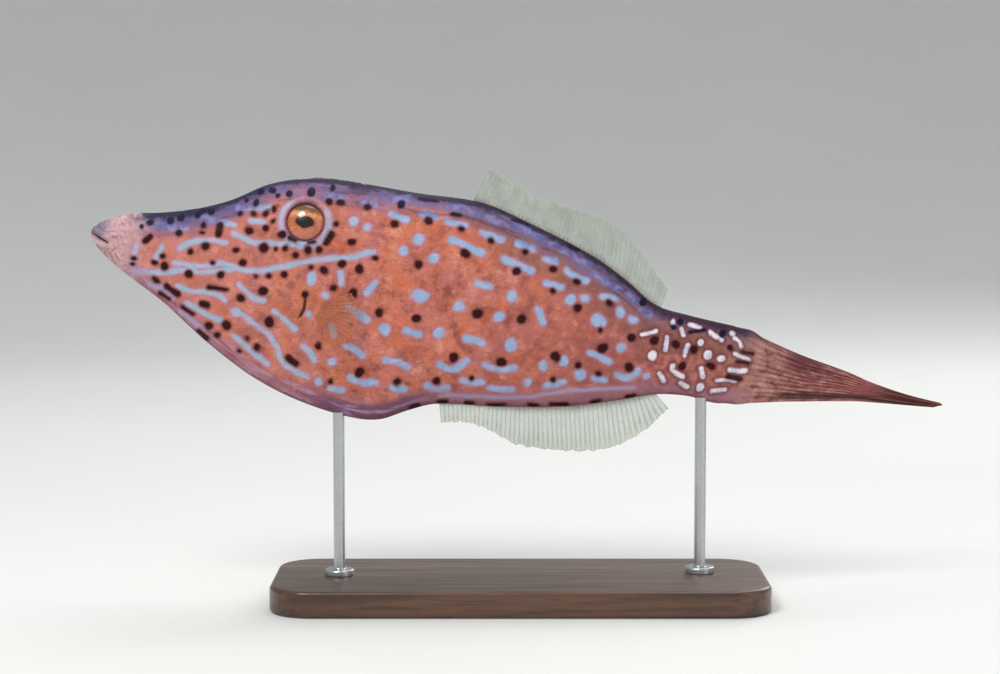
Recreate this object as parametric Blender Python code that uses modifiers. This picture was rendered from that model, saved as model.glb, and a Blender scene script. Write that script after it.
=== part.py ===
"""A life-size scrawled filefish, still, swimming with its head a little up, on a plain display stand.

The fish's own frame: "along" runs back from the snout tip, "side" is positive to the fish's right and
"up" is positive to its back. place() turns these into the world: +Z up, the head towards -X, the left
flank towards -Y, and the origin in the middle of the stand base's underside.
"""
import math
import random

import bmesh
import bpy
from mathutils import Matrix, Vector

MM = 0.001
GAP = 0.3 * MM
WELD = 0.01 * MM
MODEL_NAME = "scrawled_filefish"

# Driving sizes of the fish, in millimetres along its own axis
BODY_LENGTH = 400.0
TAIL_FIN_LENGTH = 155.0
BEND_START = 300.0
BEND_RADIUS = 420.0
PITCH = math.radians(10.0)

# Where the snout tip is in the world
SNOUT_X = -258.0
SNOUT_Z = 226.0

# Outlines of the body: (along, value) stations in millimetres
BACK = (
    (0, 0.6), (1.5, 3.4), (5, 6.4), (14, 11.4), (24, 14.8), (40, 18.2), (60, 24.0), (80, 33.0), (100, 45.8),
    (122, 53.2), (150, 56.0), (190, 56.3), (228, 57.3), (260, 49.8), (300, 37.2), (322, 26.6), (342, 15.0),
    (362, 12.0), (400, 9.4),
)
BELLY = (
    (0, -2.8), (1.5, -5.6), (5, -10.0), (14, -16.6), (28, -24.4), (50, -36.0), (78, -54.2), (110, -71.0),
    (140, -80.4), (172, -84.8), (190, -83.0), (206, -74.6), (222, -67.8), (260, -62.8), (300, -55.6),
    (330, -46.6), (352, -39.4), (372, -37.2), (388, -38.8), (400, -38.2),
)
HALF_WIDTH = (
    (0, 1.6), (1.5, 4.0), (5, 6.4), (14, 8.0), (28, 9.2), (50, 11.0), (78, 14.2), (105, 17.8), (130, 19.8),
    (165, 20.6), (215, 19.4), (260, 16.6), (310, 12.2), (350, 8.4), (380, 6.4), (400, 4.8),
)
WIDEST_LEVEL = (
    (0, -1.2), (28, -1.0), (78, 6.0), (125, 14.0), (170, 8.0), (260, -4.0), (340, -10.0), (400, -14.0),
)
BACK_SHARPNESS = 1.12
BELLY_SHARPNESS = ((0, 1.0), (60, 1.1), (120, 1.35), (180, 1.6), (225, 1.3), (300, 1.15), (400, 1.0))

# Sections of the body loft
SNOUT_STATIONS = (0.0, 0.7, 1.8, 3.2, 7.8)
BODY_STEP = 7.0
STEP_GROWTH = 1.08
BODY_SIDES = 36

# Where the body is parted
NECK_CUT_ALONG = 139.0
NECK_CUT_UP = -23.0
NECK_CUT_LEAN = 0.295
STALK_CUT_ALONG = 357.0

# Eyes and the fold of skin round each
EYE_ALONG = 127.0
EYE_UP = 28.0
EYE_RADIUS = 13.0
EYE_HALF_DEPTH = 9.0
EYE_PROUD = 4.2
RIM_RADIUS = 13.2
RIM_HALF_WIDTH = 2.2
RIM_FLATNESS = 0.6

# Mouth: its line climbs from the front to the corner, with a roll of lip above and below
MOUTH_FRONT_UP = -4.3
MOUTH_SLOPE = 0.2
MOUTH_DEPTH = 13.0
MOUTH_HALF_WIDTH = 14.0
MOUTH_HEIGHT = 1.5
MOUTH_CORNER_SHARE = 0.6
LIP_RADIUS = 2.7
LIP_LENGTH = 15.5
LIP_INSET = 1.1
LIP_OFFSET = 2.5
LIP_TAPER = 0.5
LIP_POINTS = 17
UPPER_LIP_FRONT = 1.0
LOWER_LIP_FRONT = 3.0

# Nostrils and gill slit
NOSTRILS = ((104.5, 31.0), (109.5, 34.0))
NOSTRIL_RADIUS = 1.1
NOSTRIL_DEPTH = 1.5
NOSTRIL_FLARE = (0.6, 1.0, 1.3)
GILL_SLIT = ((132.6, -12.5), (134.8, -17.5), (134.8, -23.5), (133.0, -28.5), (129.8, -33.0))
GILL_SLIT_RADIUS = 1.1
GILL_SLIT_TAPER = (0.5, 1.0, 1.2, 1.0, 0.5)

# Folded first dorsal spine
SPINE_BASE = 119.0
SPINE_LENGTH = 36.0
SPINE_RADIUS = 1.4
SPINE_TIP_RADIUS = 0.5
SPINE_LIFT = 0.1
SPINE_POINTS = 9

# Soft fins: rays, and thickness of ray, membrane and edge
DORSAL_RAYS = 46
ANAL_RAYS = 48
DORSAL_SEED = 3
ANAL_SEED = 5
PECTORAL_RAYS = 13
RAY_THICKNESS = 1.3
MEMBRANE_THICKNESS = 0.65
EDGE_THICKNESS = 0.5
EDGE_FINENESS = 1.5
RAY_STEPS = 3
RAY_VARIATION = 0.5
SCALLOP = 0.8
DORSAL_BASE = (223.0, 346.0)
DORSAL_EDGE = (
    (0.0, 229.0, 79.0), (0.28, 260.0, 67.5), (0.55, 291.0, 63.0), (0.72, 310.0, 58.5),
    (0.87, 330.0, 44.0), (1.0, 348.0, 26.0),
)
ANAL_BASE = (224.0, 353.0)
ANAL_EDGE = (
    (0.0, 227.0, -80.0), (0.22, 254.0, -83.5), (0.5, 294.0, -84.5), (0.75, 328.0, -77.5),
    (0.9, 349.0, -63.0), (1.0, 362.0, -47.0),
)
FIN_WAVE = 3.0
FIN_WAVES = 1.5

# Tail fin, folded, in millimetres behind the body, and where its two solids meet
TAIL_FIN_RAYS = 12
TAIL_FIN_STEPS = 7
TAIL_FIN_PART = 78.0
TAIL_FIN_TOP = ((0, 9.0), (15, 4.8), (40, -1.4), (75, -7.8), (95, -12.4), (125, -17.0), (155, -19.8))
TAIL_FIN_BOTTOM = ((0, -37.4), (16, -35.0), (32, -32.2), (49, -29.8), (66, -27.6), (90, -25.2), (155, -23.4))
TAIL_FIN_HALF_THICKNESS = ((0, 4.4), (40, 3.2), (90, 2.6), (130, 1.8), (155, 1.0))
TAIL_RAY_RELIEF = 0.34

# Pectoral fins
PECTORAL_ALONG = 143.5
PECTORAL_UP = -23.0
PECTORAL_LENGTH = 29.0
PECTORAL_SHORTEST = 0.72
PECTORAL_ARCH = (0.1, 0.95)
PECTORAL_ROOT_HEIGHT = 8.0
PECTORAL_ROOT_DEPTH = 2.5
PECTORAL_STEPS = 4
PECTORAL_FAN = math.radians(36.0)
PECTORAL_DROOP = math.radians(-6.0)
PECTORAL_SPREAD = math.radians(20.0)
PECTORAL_CUP = 2.0
PECTORAL_THINNING = 0.8

# Stand
BASE_LENGTH = 300.0
BASE_WIDTH = 112.0
BASE_HEIGHT = 16.0
BASE_CORNER = 26.0
BASE_BEVEL = 2.5
BASE_BEVEL_SEGMENTS = 2
BASE_BEVEL_ANGLE = math.radians(60)
ROD_RADIUS = 3.5
FRONT_ROD_ALONG = 165.0
REAR_ROD_ALONG = 381.0
COLLAR_RADIUS = 9.0
COLLAR_HEIGHT = 3.5
COLLAR_CHAMFER = 1.2
ROD_INTO_BODY = 4.0
ROD_SIDES = 24

# How finely round pieces are divided
TUBE_SMOOTHNESS = 2
EYE_SIDES = 20
EYE_RINGS = 12
RIM_SEGMENTS = 28
RIM_SIDES = 8
CORNER_SEGMENTS = 6
SHARP_ANGLE = math.radians(40)


def smooth(stations, at):
    """The value at a place along a smooth curve through the stations, flat beyond their ends."""
    if at <= stations[0][0]:
        return stations[0][1]
    if at >= stations[-1][0]:
        return stations[-1][1]
    i = max(k for k, station in enumerate(stations) if station[0] <= at)

    def slope(k):
        before, after = max(k - 1, 0), min(k + 1, len(stations) - 1)
        return (stations[after][1] - stations[before][1]) / (stations[after][0] - stations[before][0])

    width = stations[i + 1][0] - stations[i][0]
    t = (at - stations[i][0]) / width
    low, high = stations[i][1], stations[i + 1][1]
    return (
        (2 * t**3 - 3 * t**2 + 1) * low
        + (t**3 - 2 * t**2 + t) * width * slope(i)
        + (3 * t**2 - 2 * t**3) * high
        + (t**3 - t**2) * width * slope(i + 1)
    )


def place(along, side, up):
    """A point of the fish's own frame, in millimetres, as a point of the world in metres."""
    turn = max(0.0, along - BEND_START) / BEND_RADIUS
    x = min(along, BEND_START) + BEND_RADIUS * math.sin(turn) - side * math.sin(turn)
    y = BEND_RADIUS * (1 - math.cos(turn)) + side * math.cos(turn)
    world_x = SNOUT_X + x * math.cos(PITCH) + up * math.sin(PITCH)
    world_z = SNOUT_Z - x * math.sin(PITCH) + up * math.cos(PITCH)
    return Vector((world_x, y, world_z)) * MM


def axes_at(along):
    """The directions back, to the side and up of the fish's frame at this place, in the world."""
    origin = place(along, 0, 0)
    back = (place(along + 1, 0, 0) - origin).normalized()
    side = (place(along, 1, 0) - origin).normalized()
    return back, side, (place(along, 0, 1) - origin).normalized()


def section_point(along, angle):
    """A point of the body's section: angle 0 is the back, 90 degrees the right flank, 180 the belly."""
    level = smooth(WIDEST_LEVEL, along)
    rise = math.cos(angle)
    reach = smooth(BACK, along) - level if rise > 0 else level - smooth(BELLY, along)
    sharpness = BACK_SHARPNESS if rise > 0 else smooth(BELLY_SHARPNESS, along)
    side = smooth(HALF_WIDTH, along) * abs(math.sin(angle)) ** sharpness
    return place(along, math.copysign(side, math.sin(angle)), level + reach * rise)


def flank_reach(along, up):
    """How far the body reaches to either side at this height, in millimetres."""
    level = smooth(WIDEST_LEVEL, along)
    reach = smooth(BACK, along) - level if up > level else level - smooth(BELLY, along)
    sharpness = BACK_SHARPNESS if up > level else smooth(BELLY_SHARPNESS, along)
    rise = min(1.0, abs(up - level) / reach)
    return smooth(HALF_WIDTH, along) * math.sqrt(1 - rise * rise) ** sharpness


def flank_point(along, up, side):
    """The point of the left (-1) or right (1) flank at this height."""
    return place(along, side * flank_reach(along, up), up)


def flank_outward(along, up, side):
    """The direction straight out of the flank."""
    here = flank_point(along, up, side)
    out = (flank_point(along + 1, up, side) - here).cross(flank_point(along, up + 1, side) - here)
    return out.normalized() if out.y * side > 0 else -out.normalized()


def facing(direction):
    """A rotation whose Z axis points this way."""
    return direction.to_track_quat("Z", "Y").to_matrix().to_4x4()


def material(name, colour, roughness, metallic=0.0):
    made = bpy.data.materials.new(name)
    made.use_nodes = True
    shader = made.node_tree.nodes["Principled BSDF"]
    shader.inputs["Base Color"].default_value = (*colour, 1.0)
    shader.inputs["Roughness"].default_value = roughness
    shader.inputs["Metallic"].default_value = metallic
    made.diffuse_color = (*colour, 1.0)
    return made


def link_new(name, data):
    obj = bpy.data.objects.new(name, data)
    bpy.context.scene.collection.objects.link(obj)
    return obj


def mesh_from(bm, name):
    """A new mesh with this bmesh's shape, its faces pointing out."""
    bmesh.ops.recalc_face_normals(bm, faces=bm.faces)
    mesh = bpy.data.meshes.new(name)
    bm.to_mesh(mesh)
    bm.free()
    return mesh


def object_from(bm, name):
    return link_new(name, mesh_from(bm, name))


def with_modifiers_applied(obj):
    """Gives an object the mesh that its curve or modifiers make, with any loose caps welded."""
    evaluated = obj.evaluated_get(bpy.context.evaluated_depsgraph_get())
    mesh = bpy.data.meshes.new_from_object(evaluated)
    bm = bmesh.new()
    bm.from_mesh(mesh)
    bmesh.ops.remove_doubles(bm, verts=bm.verts, dist=WELD)
    made = object_from(bm, obj.name)
    made.matrix_world = obj.matrix_world
    bpy.data.objects.remove(obj)
    return made


def loft(rings, name):
    """A closed solid through rings of points, with flat ends."""
    bm = bmesh.new()
    rows = [[bm.verts.new(point) for point in ring] for ring in rings]
    sides = len(rings[0])
    for near, far in zip(rows, rows[1:]):
        for i in range(sides):
            j = (i + 1) % sides
            bm.faces.new((near[i], near[j], far[j], far[i]))
    bm.faces.new(rows[0])
    bm.faces.new(reversed(rows[-1]))
    return object_from(bm, name)


def tube(points, radii, name):
    """A closed round tube through world points, with its radius in millimetres at each."""
    curve = bpy.data.curves.new(name, "CURVE")
    curve.dimensions = "3D"
    curve.bevel_depth = MM
    curve.bevel_resolution = TUBE_SMOOTHNESS
    curve.use_fill_caps = True
    spline = curve.splines.new("POLY")
    spline.points.add(len(points) - 1)
    for spot, point, radius in zip(spline.points, points, radii):
        spot.co = (*point, 1.0)
        spot.radius = radius
    return with_modifiers_applied(link_new(name, curve))


def ball(name, centre, axes, half_sizes):
    """A closed ellipsoid whose half sizes, in millimetres, lie along the given axes."""
    bm = bmesh.new()
    bmesh.ops.create_uvsphere(bm, u_segments=EYE_SIDES, v_segments=EYE_RINGS, radius=MM)
    scale = Matrix.Diagonal((*half_sizes, 1.0))
    bmesh.ops.transform(bm, matrix=Matrix.Translation(centre) @ axes @ scale, verts=bm.verts)
    return object_from(bm, name)


def whole_body(name):
    """The body from the lips to the root of the tail fin."""
    steps = round(BODY_LENGTH / BODY_STEP)
    stations = list(SNOUT_STATIONS) + [BODY_LENGTH * (k / steps) ** STEP_GROWTH for k in range(1, steps + 1)]
    angles = [2 * math.pi * k / BODY_SIDES for k in range(BODY_SIDES)]
    return loft([[section_point(along, angle) for angle in angles] for along in sorted(stations)], name)


def trim(obj, point, outward):
    """Cuts away what lies beyond a plane, and closes the cut."""
    bm = bmesh.new()
    bm.from_mesh(obj.data)
    everything = bm.verts[:] + bm.edges[:] + bm.faces[:]
    cut = bmesh.ops.bisect_plane(bm, geom=everything, plane_co=point, plane_no=outward, clear_outer=True)
    rim = [item for item in cut["geom_cut"] if isinstance(item, bmesh.types.BMEdge)]
    bmesh.ops.edgeloop_fill(bm, edges=rim)
    obj.data = mesh_from(bm, obj.name)


def grown(obj, name):
    """A copy whose faces stand out by the gap that neighbours keep."""
    bm = bmesh.new()
    bm.from_mesh(obj.data)
    bm.normal_update()
    for vert, normal in [(vert, vert.normal.copy()) for vert in bm.verts]:
        vert.co += normal * GAP
    return object_from(bm, name)


def keep_largest_shell(obj):
    """Leaves only the largest closed surface of a mesh."""
    bm = bmesh.new()
    bm.from_mesh(obj.data)
    left, shells = set(bm.verts), []
    while left:
        reached, frontier = set(), [next(iter(left))]
        while frontier:
            vert = frontier.pop()
            if vert not in reached:
                reached.add(vert)
                frontier.extend(edge.other_vert(vert) for edge in vert.link_edges)
        shells.append(reached)
        left -= reached

    def extent(verts):
        return sum(max(v.co[i] for v in verts) - min(v.co[i] for v in verts) for i in range(3))

    keep = max(shells, key=extent)
    bmesh.ops.delete(bm, geom=[vert for vert in bm.verts if vert not in keep], context="VERTS")
    obj.data = mesh_from(bm, obj.name)


def combine(obj, others, operation):
    """One Boolean of an object with a collection of others, applied. The others are removed."""
    group = bpy.data.collections.new("cutters")
    bpy.context.scene.collection.children.link(group)
    for other in others:
        bpy.context.scene.collection.objects.unlink(other)
        group.objects.link(other)
        other.hide_render = True
        other.display_type = "WIRE"
    modifier = obj.modifiers.new("combine", "BOOLEAN")
    modifier.operation = operation
    modifier.solver = "EXACT"
    modifier.operand_type = "COLLECTION"
    modifier.collection = group
    evaluated = obj.evaluated_get(bpy.context.evaluated_depsgraph_get())
    mesh = bpy.data.meshes.new_from_object(evaluated)
    obj.modifiers.clear()
    obj.data = mesh
    for other in others:
        bpy.data.objects.remove(other)
    bpy.data.collections.remove(group)
    keep_largest_shell(obj)


def finish_node(obj, name, finish, root=None):
    """Names a finished solid, gives it its material and, where told, moves its origin to its root."""
    obj.name = obj.data.name = name
    obj.data.materials.clear()
    obj.data.materials.append(finish)
    obj.data.shade_smooth()
    obj.data.set_sharp_from_angle(angle=SHARP_ANGLE)
    if root:
        obj.data.transform(Matrix.Translation(-root))
        obj.location = root
    return obj


def ridged_fin(name, roots, edges, bend, steps, thinning=1.0):
    """A membrane with rays raised in its surface. Columns go ray, membrane, ray, to the last ray.

    bend(column, share) is how far the membrane's middle moves, and gives the direction of its thickness.
    Both faces are split into triangles the same way, so that they never cross.
    """
    columns = len(roots)
    bm = bmesh.new()
    grids = []
    for face in (1, -1):
        grid = []
        for k in range(columns):
            thick = (MEMBRANE_THICKNESS if k % 2 else RAY_THICKNESS) * thinning
            column = []
            for step in range(steps + 1):
                share = step / steps
                half = (thick + (EDGE_THICKNESS - thick) * share**EDGE_FINENESS) / 2
                shift, across = bend(k, share)
                point = roots[k].lerp(edges[k], share) + across * (shift + face * half) * MM
                column.append(bm.verts.new(point))
            grid.append(column)
        grids.append(grid)
    for grid in grids:
        for k in range(columns - 1):
            for step in range(steps):
                a, b, c, d = grid[k][step], grid[k + 1][step], grid[k + 1][step + 1], grid[k][step + 1]
                bm.faces.new((a, b, c))
                bm.faces.new((a, c, d))
    border = [(k, 0) for k in range(columns)]
    border += [(columns - 1, step) for step in range(1, steps + 1)]
    border += [(k, steps) for k in reversed(range(columns - 1))]
    border += [(0, step) for step in reversed(range(1, steps))]
    near, far = grids
    for (k, i), (m, j) in zip(border, border[1:] + border[:1]):
        bm.faces.new((near[k][i], near[m][j], far[m][j]))
        bm.faces.new((near[k][i], far[m][j], far[k][i]))
    return object_from(bm, name)


def median_fin(name, base, outline, edge, rays, sign, seed):
    """The dorsal (sign 1) or anal (sign -1) fin: rays from the body's outline, with a slow wave."""
    draw = random.Random(seed)
    columns = 2 * rays - 1
    shares = [k / (columns - 1) for k in range(columns)]
    alongs = [base[0] + (base[1] - base[0]) * share for share in shares]
    roots = [place(along, 0, smooth(outline, along) + sign * GAP / MM) for along in alongs]
    edges = []
    for k, share in enumerate(shares):
        tip_along = smooth([(s, along) for s, along, _ in edge], share)
        tip_up = smooth([(s, up) for s, _, up in edge], share)
        inward = SCALLOP if k % 2 else draw.uniform(0, RAY_VARIATION)
        edges.append(place(tip_along, 0, tip_up - sign * inward))
    sides = [axes_at(along)[1] for along in alongs]

    def bend(k, share):
        wave = sign * FIN_WAVE * math.sin(2 * math.pi * FIN_WAVES * shares[k])
        return wave * share * share, sides[k]

    return ridged_fin(name, roots, edges, bend, RAY_STEPS)


def pectoral_fin(name, side):
    """A small rounded fan, cupped a little and held back along the flank."""
    root = flank_point(PECTORAL_ALONG, PECTORAL_UP, side)
    out = flank_outward(PECTORAL_ALONG, PECTORAL_UP, side)
    back, _, up = axes_at(PECTORAL_ALONG)
    away = (back * math.cos(PECTORAL_SPREAD) + out * math.sin(PECTORAL_SPREAD)).normalized()
    rise = (up - up.project(away)).normalized()
    across = away.cross(rise).normalized() * -side
    draw = random.Random(name)
    columns = 2 * PECTORAL_RAYS - 1
    roots, edges = [], []
    for k in range(columns):
        share = k / (columns - 1)
        angle = PECTORAL_FAN * (1 - 2 * share) + PECTORAL_DROOP
        arch = math.sin(math.pi * (PECTORAL_ARCH[0] * (1 - share) + PECTORAL_ARCH[1] * share))
        reach = PECTORAL_LENGTH * (PECTORAL_SHORTEST + (1 - PECTORAL_SHORTEST) * arch)
        reach -= SCALLOP if k % 2 else draw.uniform(0, RAY_VARIATION)
        start = root + (rise * PECTORAL_ROOT_HEIGHT * (0.5 - share) - away * PECTORAL_ROOT_DEPTH) * MM
        roots.append(start)
        edges.append(start + (away * math.cos(angle) + rise * math.sin(angle)) * reach * MM)

    def bend(k, share):
        return -PECTORAL_CUP * abs(1 - 2 * k / (columns - 1)) * share * share, across

    return ridged_fin(name, roots, edges, bend, PECTORAL_STEPS, PECTORAL_THINNING)


def tail_fin(name, start, end):
    """A length of the folded tail fin: a flat bundle whose rays run together towards the tip."""
    rings = []
    levels = 2 * TAIL_FIN_RAYS
    for step in range(TAIL_FIN_STEPS + 1):
        out = start + (end - start) * step / TAIL_FIN_STEPS
        top, bottom = smooth(TAIL_FIN_TOP, out), smooth(TAIL_FIN_BOTTOM, out)
        half = smooth(TAIL_FIN_HALF_THICKNESS, out)
        ring = []
        for k in range(2 * levels):
            side = 1 if k <= levels else -1
            share = min(k, 2 * levels - k) / levels
            relief = 1.0 if k % 2 else 1.0 - TAIL_RAY_RELIEF
            bulge = side * half * math.sqrt(math.sin(math.pi * share)) * relief
            ring.append(place(BODY_LENGTH + out, bulge, top + (bottom - top) * share))
        rings.append(ring)
    return loft(rings, name)


def eyeball(name, side, extra=0.0):
    """An eye, set so that it stands a little proud of the head."""
    out = flank_outward(EYE_ALONG, EYE_UP, side)
    centre = flank_point(EYE_ALONG, EYE_UP, side) - out * (EYE_HALF_DEPTH - EYE_PROUD) * MM
    sizes = [size + extra for size in (EYE_RADIUS, EYE_RADIUS, EYE_HALF_DEPTH)]
    return ball(name, centre, facing(out), sizes)


def eye_rim(side):
    """The fold of skin round an eye."""
    bpy.ops.mesh.primitive_torus_add(
        major_radius=RIM_RADIUS * MM, minor_radius=RIM_HALF_WIDTH * MM,
        major_segments=RIM_SEGMENTS, minor_segments=RIM_SIDES,
    )
    rim = bpy.context.object
    centre = Matrix.Translation(flank_point(EYE_ALONG, EYE_UP, side))
    turn = facing(flank_outward(EYE_ALONG, EYE_UP, side))
    rim.data.transform(centre @ turn @ Matrix.Diagonal((1, 1, RIM_FLATNESS, 1)))
    return rim


def mouth_level(along):
    return MOUTH_FRONT_UP + MOUTH_SLOPE * along


def lip(name, front, offset):
    """A roll of skin along one jaw, half sunk, from one corner of the mouth round the front to the other."""
    points, radii = [], []
    for k in range(LIP_POINTS):
        share = 2 * k / (LIP_POINTS - 1) - 1
        along = front + LIP_LENGTH * share * share
        up = mouth_level(along) + offset
        side = max(0.0, flank_reach(along, up) - LIP_INSET) if share else 0.0
        points.append(place(along, math.copysign(side, share), up))
        radii.append(LIP_RADIUS * (1 - LIP_TAPER * abs(share)))
    return tube(points, radii, name)


def mouth_cutter():
    """A flat wedge that leaves the line of the mouth between the lips."""
    bm = bmesh.new()
    bmesh.ops.create_cube(bm, size=2.0)
    for vert in bm.verts:
        x, y, z = vert.co
        along = x * MOUTH_DEPTH
        half_height = MOUTH_HEIGHT / 2 * (MOUTH_CORNER_SHARE if x > 0 else 1.0)
        vert.co = place(along, y * MOUTH_HALF_WIDTH, mouth_level(along) + z * half_height)
    return object_from(bm, "mouth")


def gill_cutter(side):
    """The crescent gill slit."""
    points = [flank_point(along, up, side) for along, up in GILL_SLIT]
    return tube(points, [GILL_SLIT_RADIUS * size for size in GILL_SLIT_TAPER], "gill")


def nostril_cutter(along, up, side):
    """A small pit that widens outwards."""
    surface = flank_point(along, up, side)
    depth = flank_outward(along, up, side) * NOSTRIL_DEPTH * MM
    radii = [NOSTRIL_RADIUS * size for size in NOSTRIL_FLARE]
    return tube([surface - depth, surface, surface + depth], radii, "nostril")


def spine(name, extra=0.0):
    """The first dorsal spine, folded back into the edge of the back. extra widens it for its groove."""
    last = SPINE_POINTS - 1
    points, radii = [], []
    for k in range(SPINE_POINTS):
        share = k / last
        along = SPINE_BASE - extra + (SPINE_LENGTH + 2 * extra) * share
        points.append(place(along, 0, smooth(BACK, along) + SPINE_LIFT))
        radii.append(SPINE_RADIUS + (SPINE_TIP_RADIUS - SPINE_RADIUS) * share + extra)
    return tube(points, radii, name)


def neck_plane():
    """A point of the cut behind the head, and the direction backwards across it."""
    point = place(NECK_CUT_ALONG, 0, NECK_CUT_UP)
    lean = place(NECK_CUT_ALONG + NECK_CUT_LEAN, 0, NECK_CUT_UP + 1) - point
    return point, Vector((0, 1, 0)).cross(lean).normalized()


def stalk_plane():
    """A point of the cut before the tail stalk, and the direction backwards across it."""
    return place(STALK_CUT_ALONG, 0, 0), axes_at(STALK_CUT_ALONG)[0]


def make_head(finish):
    head = whole_body("head")
    point, back = neck_plane()
    trim(head, point - back * GAP / 2, back)
    lips = [lip("upper_lip", UPPER_LIP_FRONT, LIP_OFFSET), lip("lower_lip", LOWER_LIP_FRONT, -LIP_OFFSET)]
    combine(head, lips + [eye_rim(side) for side in (-1, 1)], "UNION")
    cutters = [mouth_cutter(), spine("groove", GAP / MM)]
    for side in (-1, 1):
        cutters.append(eyeball("socket", side, GAP / MM))
        cutters.append(gill_cutter(side))
        cutters += [nostril_cutter(along, up, side) for along, up in NOSTRILS]
    combine(head, cutters, "DIFFERENCE")
    return finish_node(head, "head", finish, place(0, 0, 0))


def make_torso(finish):
    torso = whole_body("torso")
    point, back = neck_plane()
    trim(torso, point + back * GAP / 2, -back)
    root = point
    point, back = stalk_plane()
    trim(torso, point - back * GAP / 2, back)
    return finish_node(torso, "torso", finish, root)


def make_tail_stalk(finish):
    stalk = whole_body("tail_stalk")
    point, back = stalk_plane()
    trim(stalk, point + back * GAP / 2, -back)
    return finish_node(stalk, "tail_stalk", finish, point)


def make_fins(body_skin, finish):
    """The soft fins. The pectorals' sunk roots are cut back to follow the flank with a small gap."""
    dorsal = median_fin("dorsal_fin", DORSAL_BASE, BACK, DORSAL_EDGE, DORSAL_RAYS, 1, DORSAL_SEED)
    finish_node(dorsal, "dorsal_fin", finish, place(DORSAL_BASE[0], 0, smooth(BACK, DORSAL_BASE[0])))
    anal = median_fin("anal_fin", ANAL_BASE, BELLY, ANAL_EDGE, ANAL_RAYS, -1, ANAL_SEED)
    finish_node(anal, "anal_fin", finish, place(ANAL_BASE[0], 0, smooth(BELLY, ANAL_BASE[0])))
    for name, side in (("pectoral_fin_left", -1), ("pectoral_fin_right", 1)):
        fin = pectoral_fin(name, side)
        combine(fin, [grown(body_skin, "near_body")], "DIFFERENCE")
        finish_node(fin, name, finish, flank_point(PECTORAL_ALONG, PECTORAL_UP, side))


def make_tail_fin(finish):
    """The tail fin, in two solids because it bends aside."""
    gap = GAP / MM
    for name, start, end in (
        ("tail_fin", gap, TAIL_FIN_PART),
        ("tail_fin_end", TAIL_FIN_PART + gap, TAIL_FIN_LENGTH + gap),
    ):
        finish_node(tail_fin(name, start, end), name, finish, place(BODY_LENGTH + start, 0, 0))


def stand_base(name, finish):
    """A flat plate with round corners and softened edges."""
    bm = bmesh.new()
    bmesh.ops.create_cube(bm, size=MM)
    bmesh.ops.scale(bm, vec=(BASE_LENGTH, BASE_WIDTH, BASE_HEIGHT), verts=bm.verts)
    bmesh.ops.translate(bm, vec=(0, 0, BASE_HEIGHT / 2 * MM), verts=bm.verts)
    upright = [edge for edge in bm.edges if abs(edge.verts[0].co.z - edge.verts[1].co.z) > MM]
    bmesh.ops.bevel(bm, geom=upright, offset=BASE_CORNER * MM, segments=CORNER_SEGMENTS,
                    profile=0.5, affect="EDGES")
    base = finish_node(object_from(bm, name), name, finish)
    bevel = base.modifiers.new("softened edges", "BEVEL")
    bevel.width = BASE_BEVEL * MM
    bevel.segments = BASE_BEVEL_SEGMENTS
    bevel.limit_method = "ANGLE"
    bevel.angle_limit = BASE_BEVEL_ANGLE
    return base


def stand_rod(name, along, body_skin, finish):
    """A turned rod with a collar at its foot, from the base up to the body, its top shaped to the body."""
    touch = place(along, 0, smooth(BELLY, along))
    foot = Vector((touch.x, touch.y, BASE_HEIGHT * MM + GAP))
    top = (touch.z - foot.z) / MM + ROD_INTO_BODY
    profile = (
        (0, top), (ROD_RADIUS, top), (ROD_RADIUS, COLLAR_HEIGHT),
        (COLLAR_RADIUS - COLLAR_CHAMFER, COLLAR_HEIGHT), (COLLAR_RADIUS, COLLAR_HEIGHT - COLLAR_CHAMFER),
        (COLLAR_RADIUS, 0), (0, 0),
    )
    bm = bmesh.new()
    spots = [bm.verts.new(Vector((radius, 0, height)) * MM) for radius, height in profile]
    for upper, lower in zip(spots, spots[1:]):
        bm.edges.new((upper, lower))
    rod = object_from(bm, name)
    rod.location = foot
    screw = rod.modifiers.new("turned", "SCREW")
    screw.steps = screw.render_steps = ROD_SIDES
    screw.use_merge_vertices = True
    screw.merge_threshold = WELD
    rod = with_modifiers_applied(rod)
    combine(rod, [grown(body_skin, "near_body")], "DIFFERENCE")
    return finish_node(rod, name, finish)


def clear_scene():
    for obj in list(bpy.data.objects):
        bpy.data.objects.remove(obj)
    for group in list(bpy.data.collections):
        bpy.data.collections.remove(group)


def gather():
    """Moves every piece into one collection with the model's name, under one empty at the origin."""
    group = bpy.data.collections.new(MODEL_NAME)
    bpy.context.scene.collection.children.link(group)
    holder = bpy.data.objects.new(MODEL_NAME + "_origin", None)
    for obj in list(bpy.context.scene.collection.objects):
        bpy.context.scene.collection.objects.unlink(obj)
        group.objects.link(obj)
        obj.parent = holder
    group.objects.link(holder)


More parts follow.
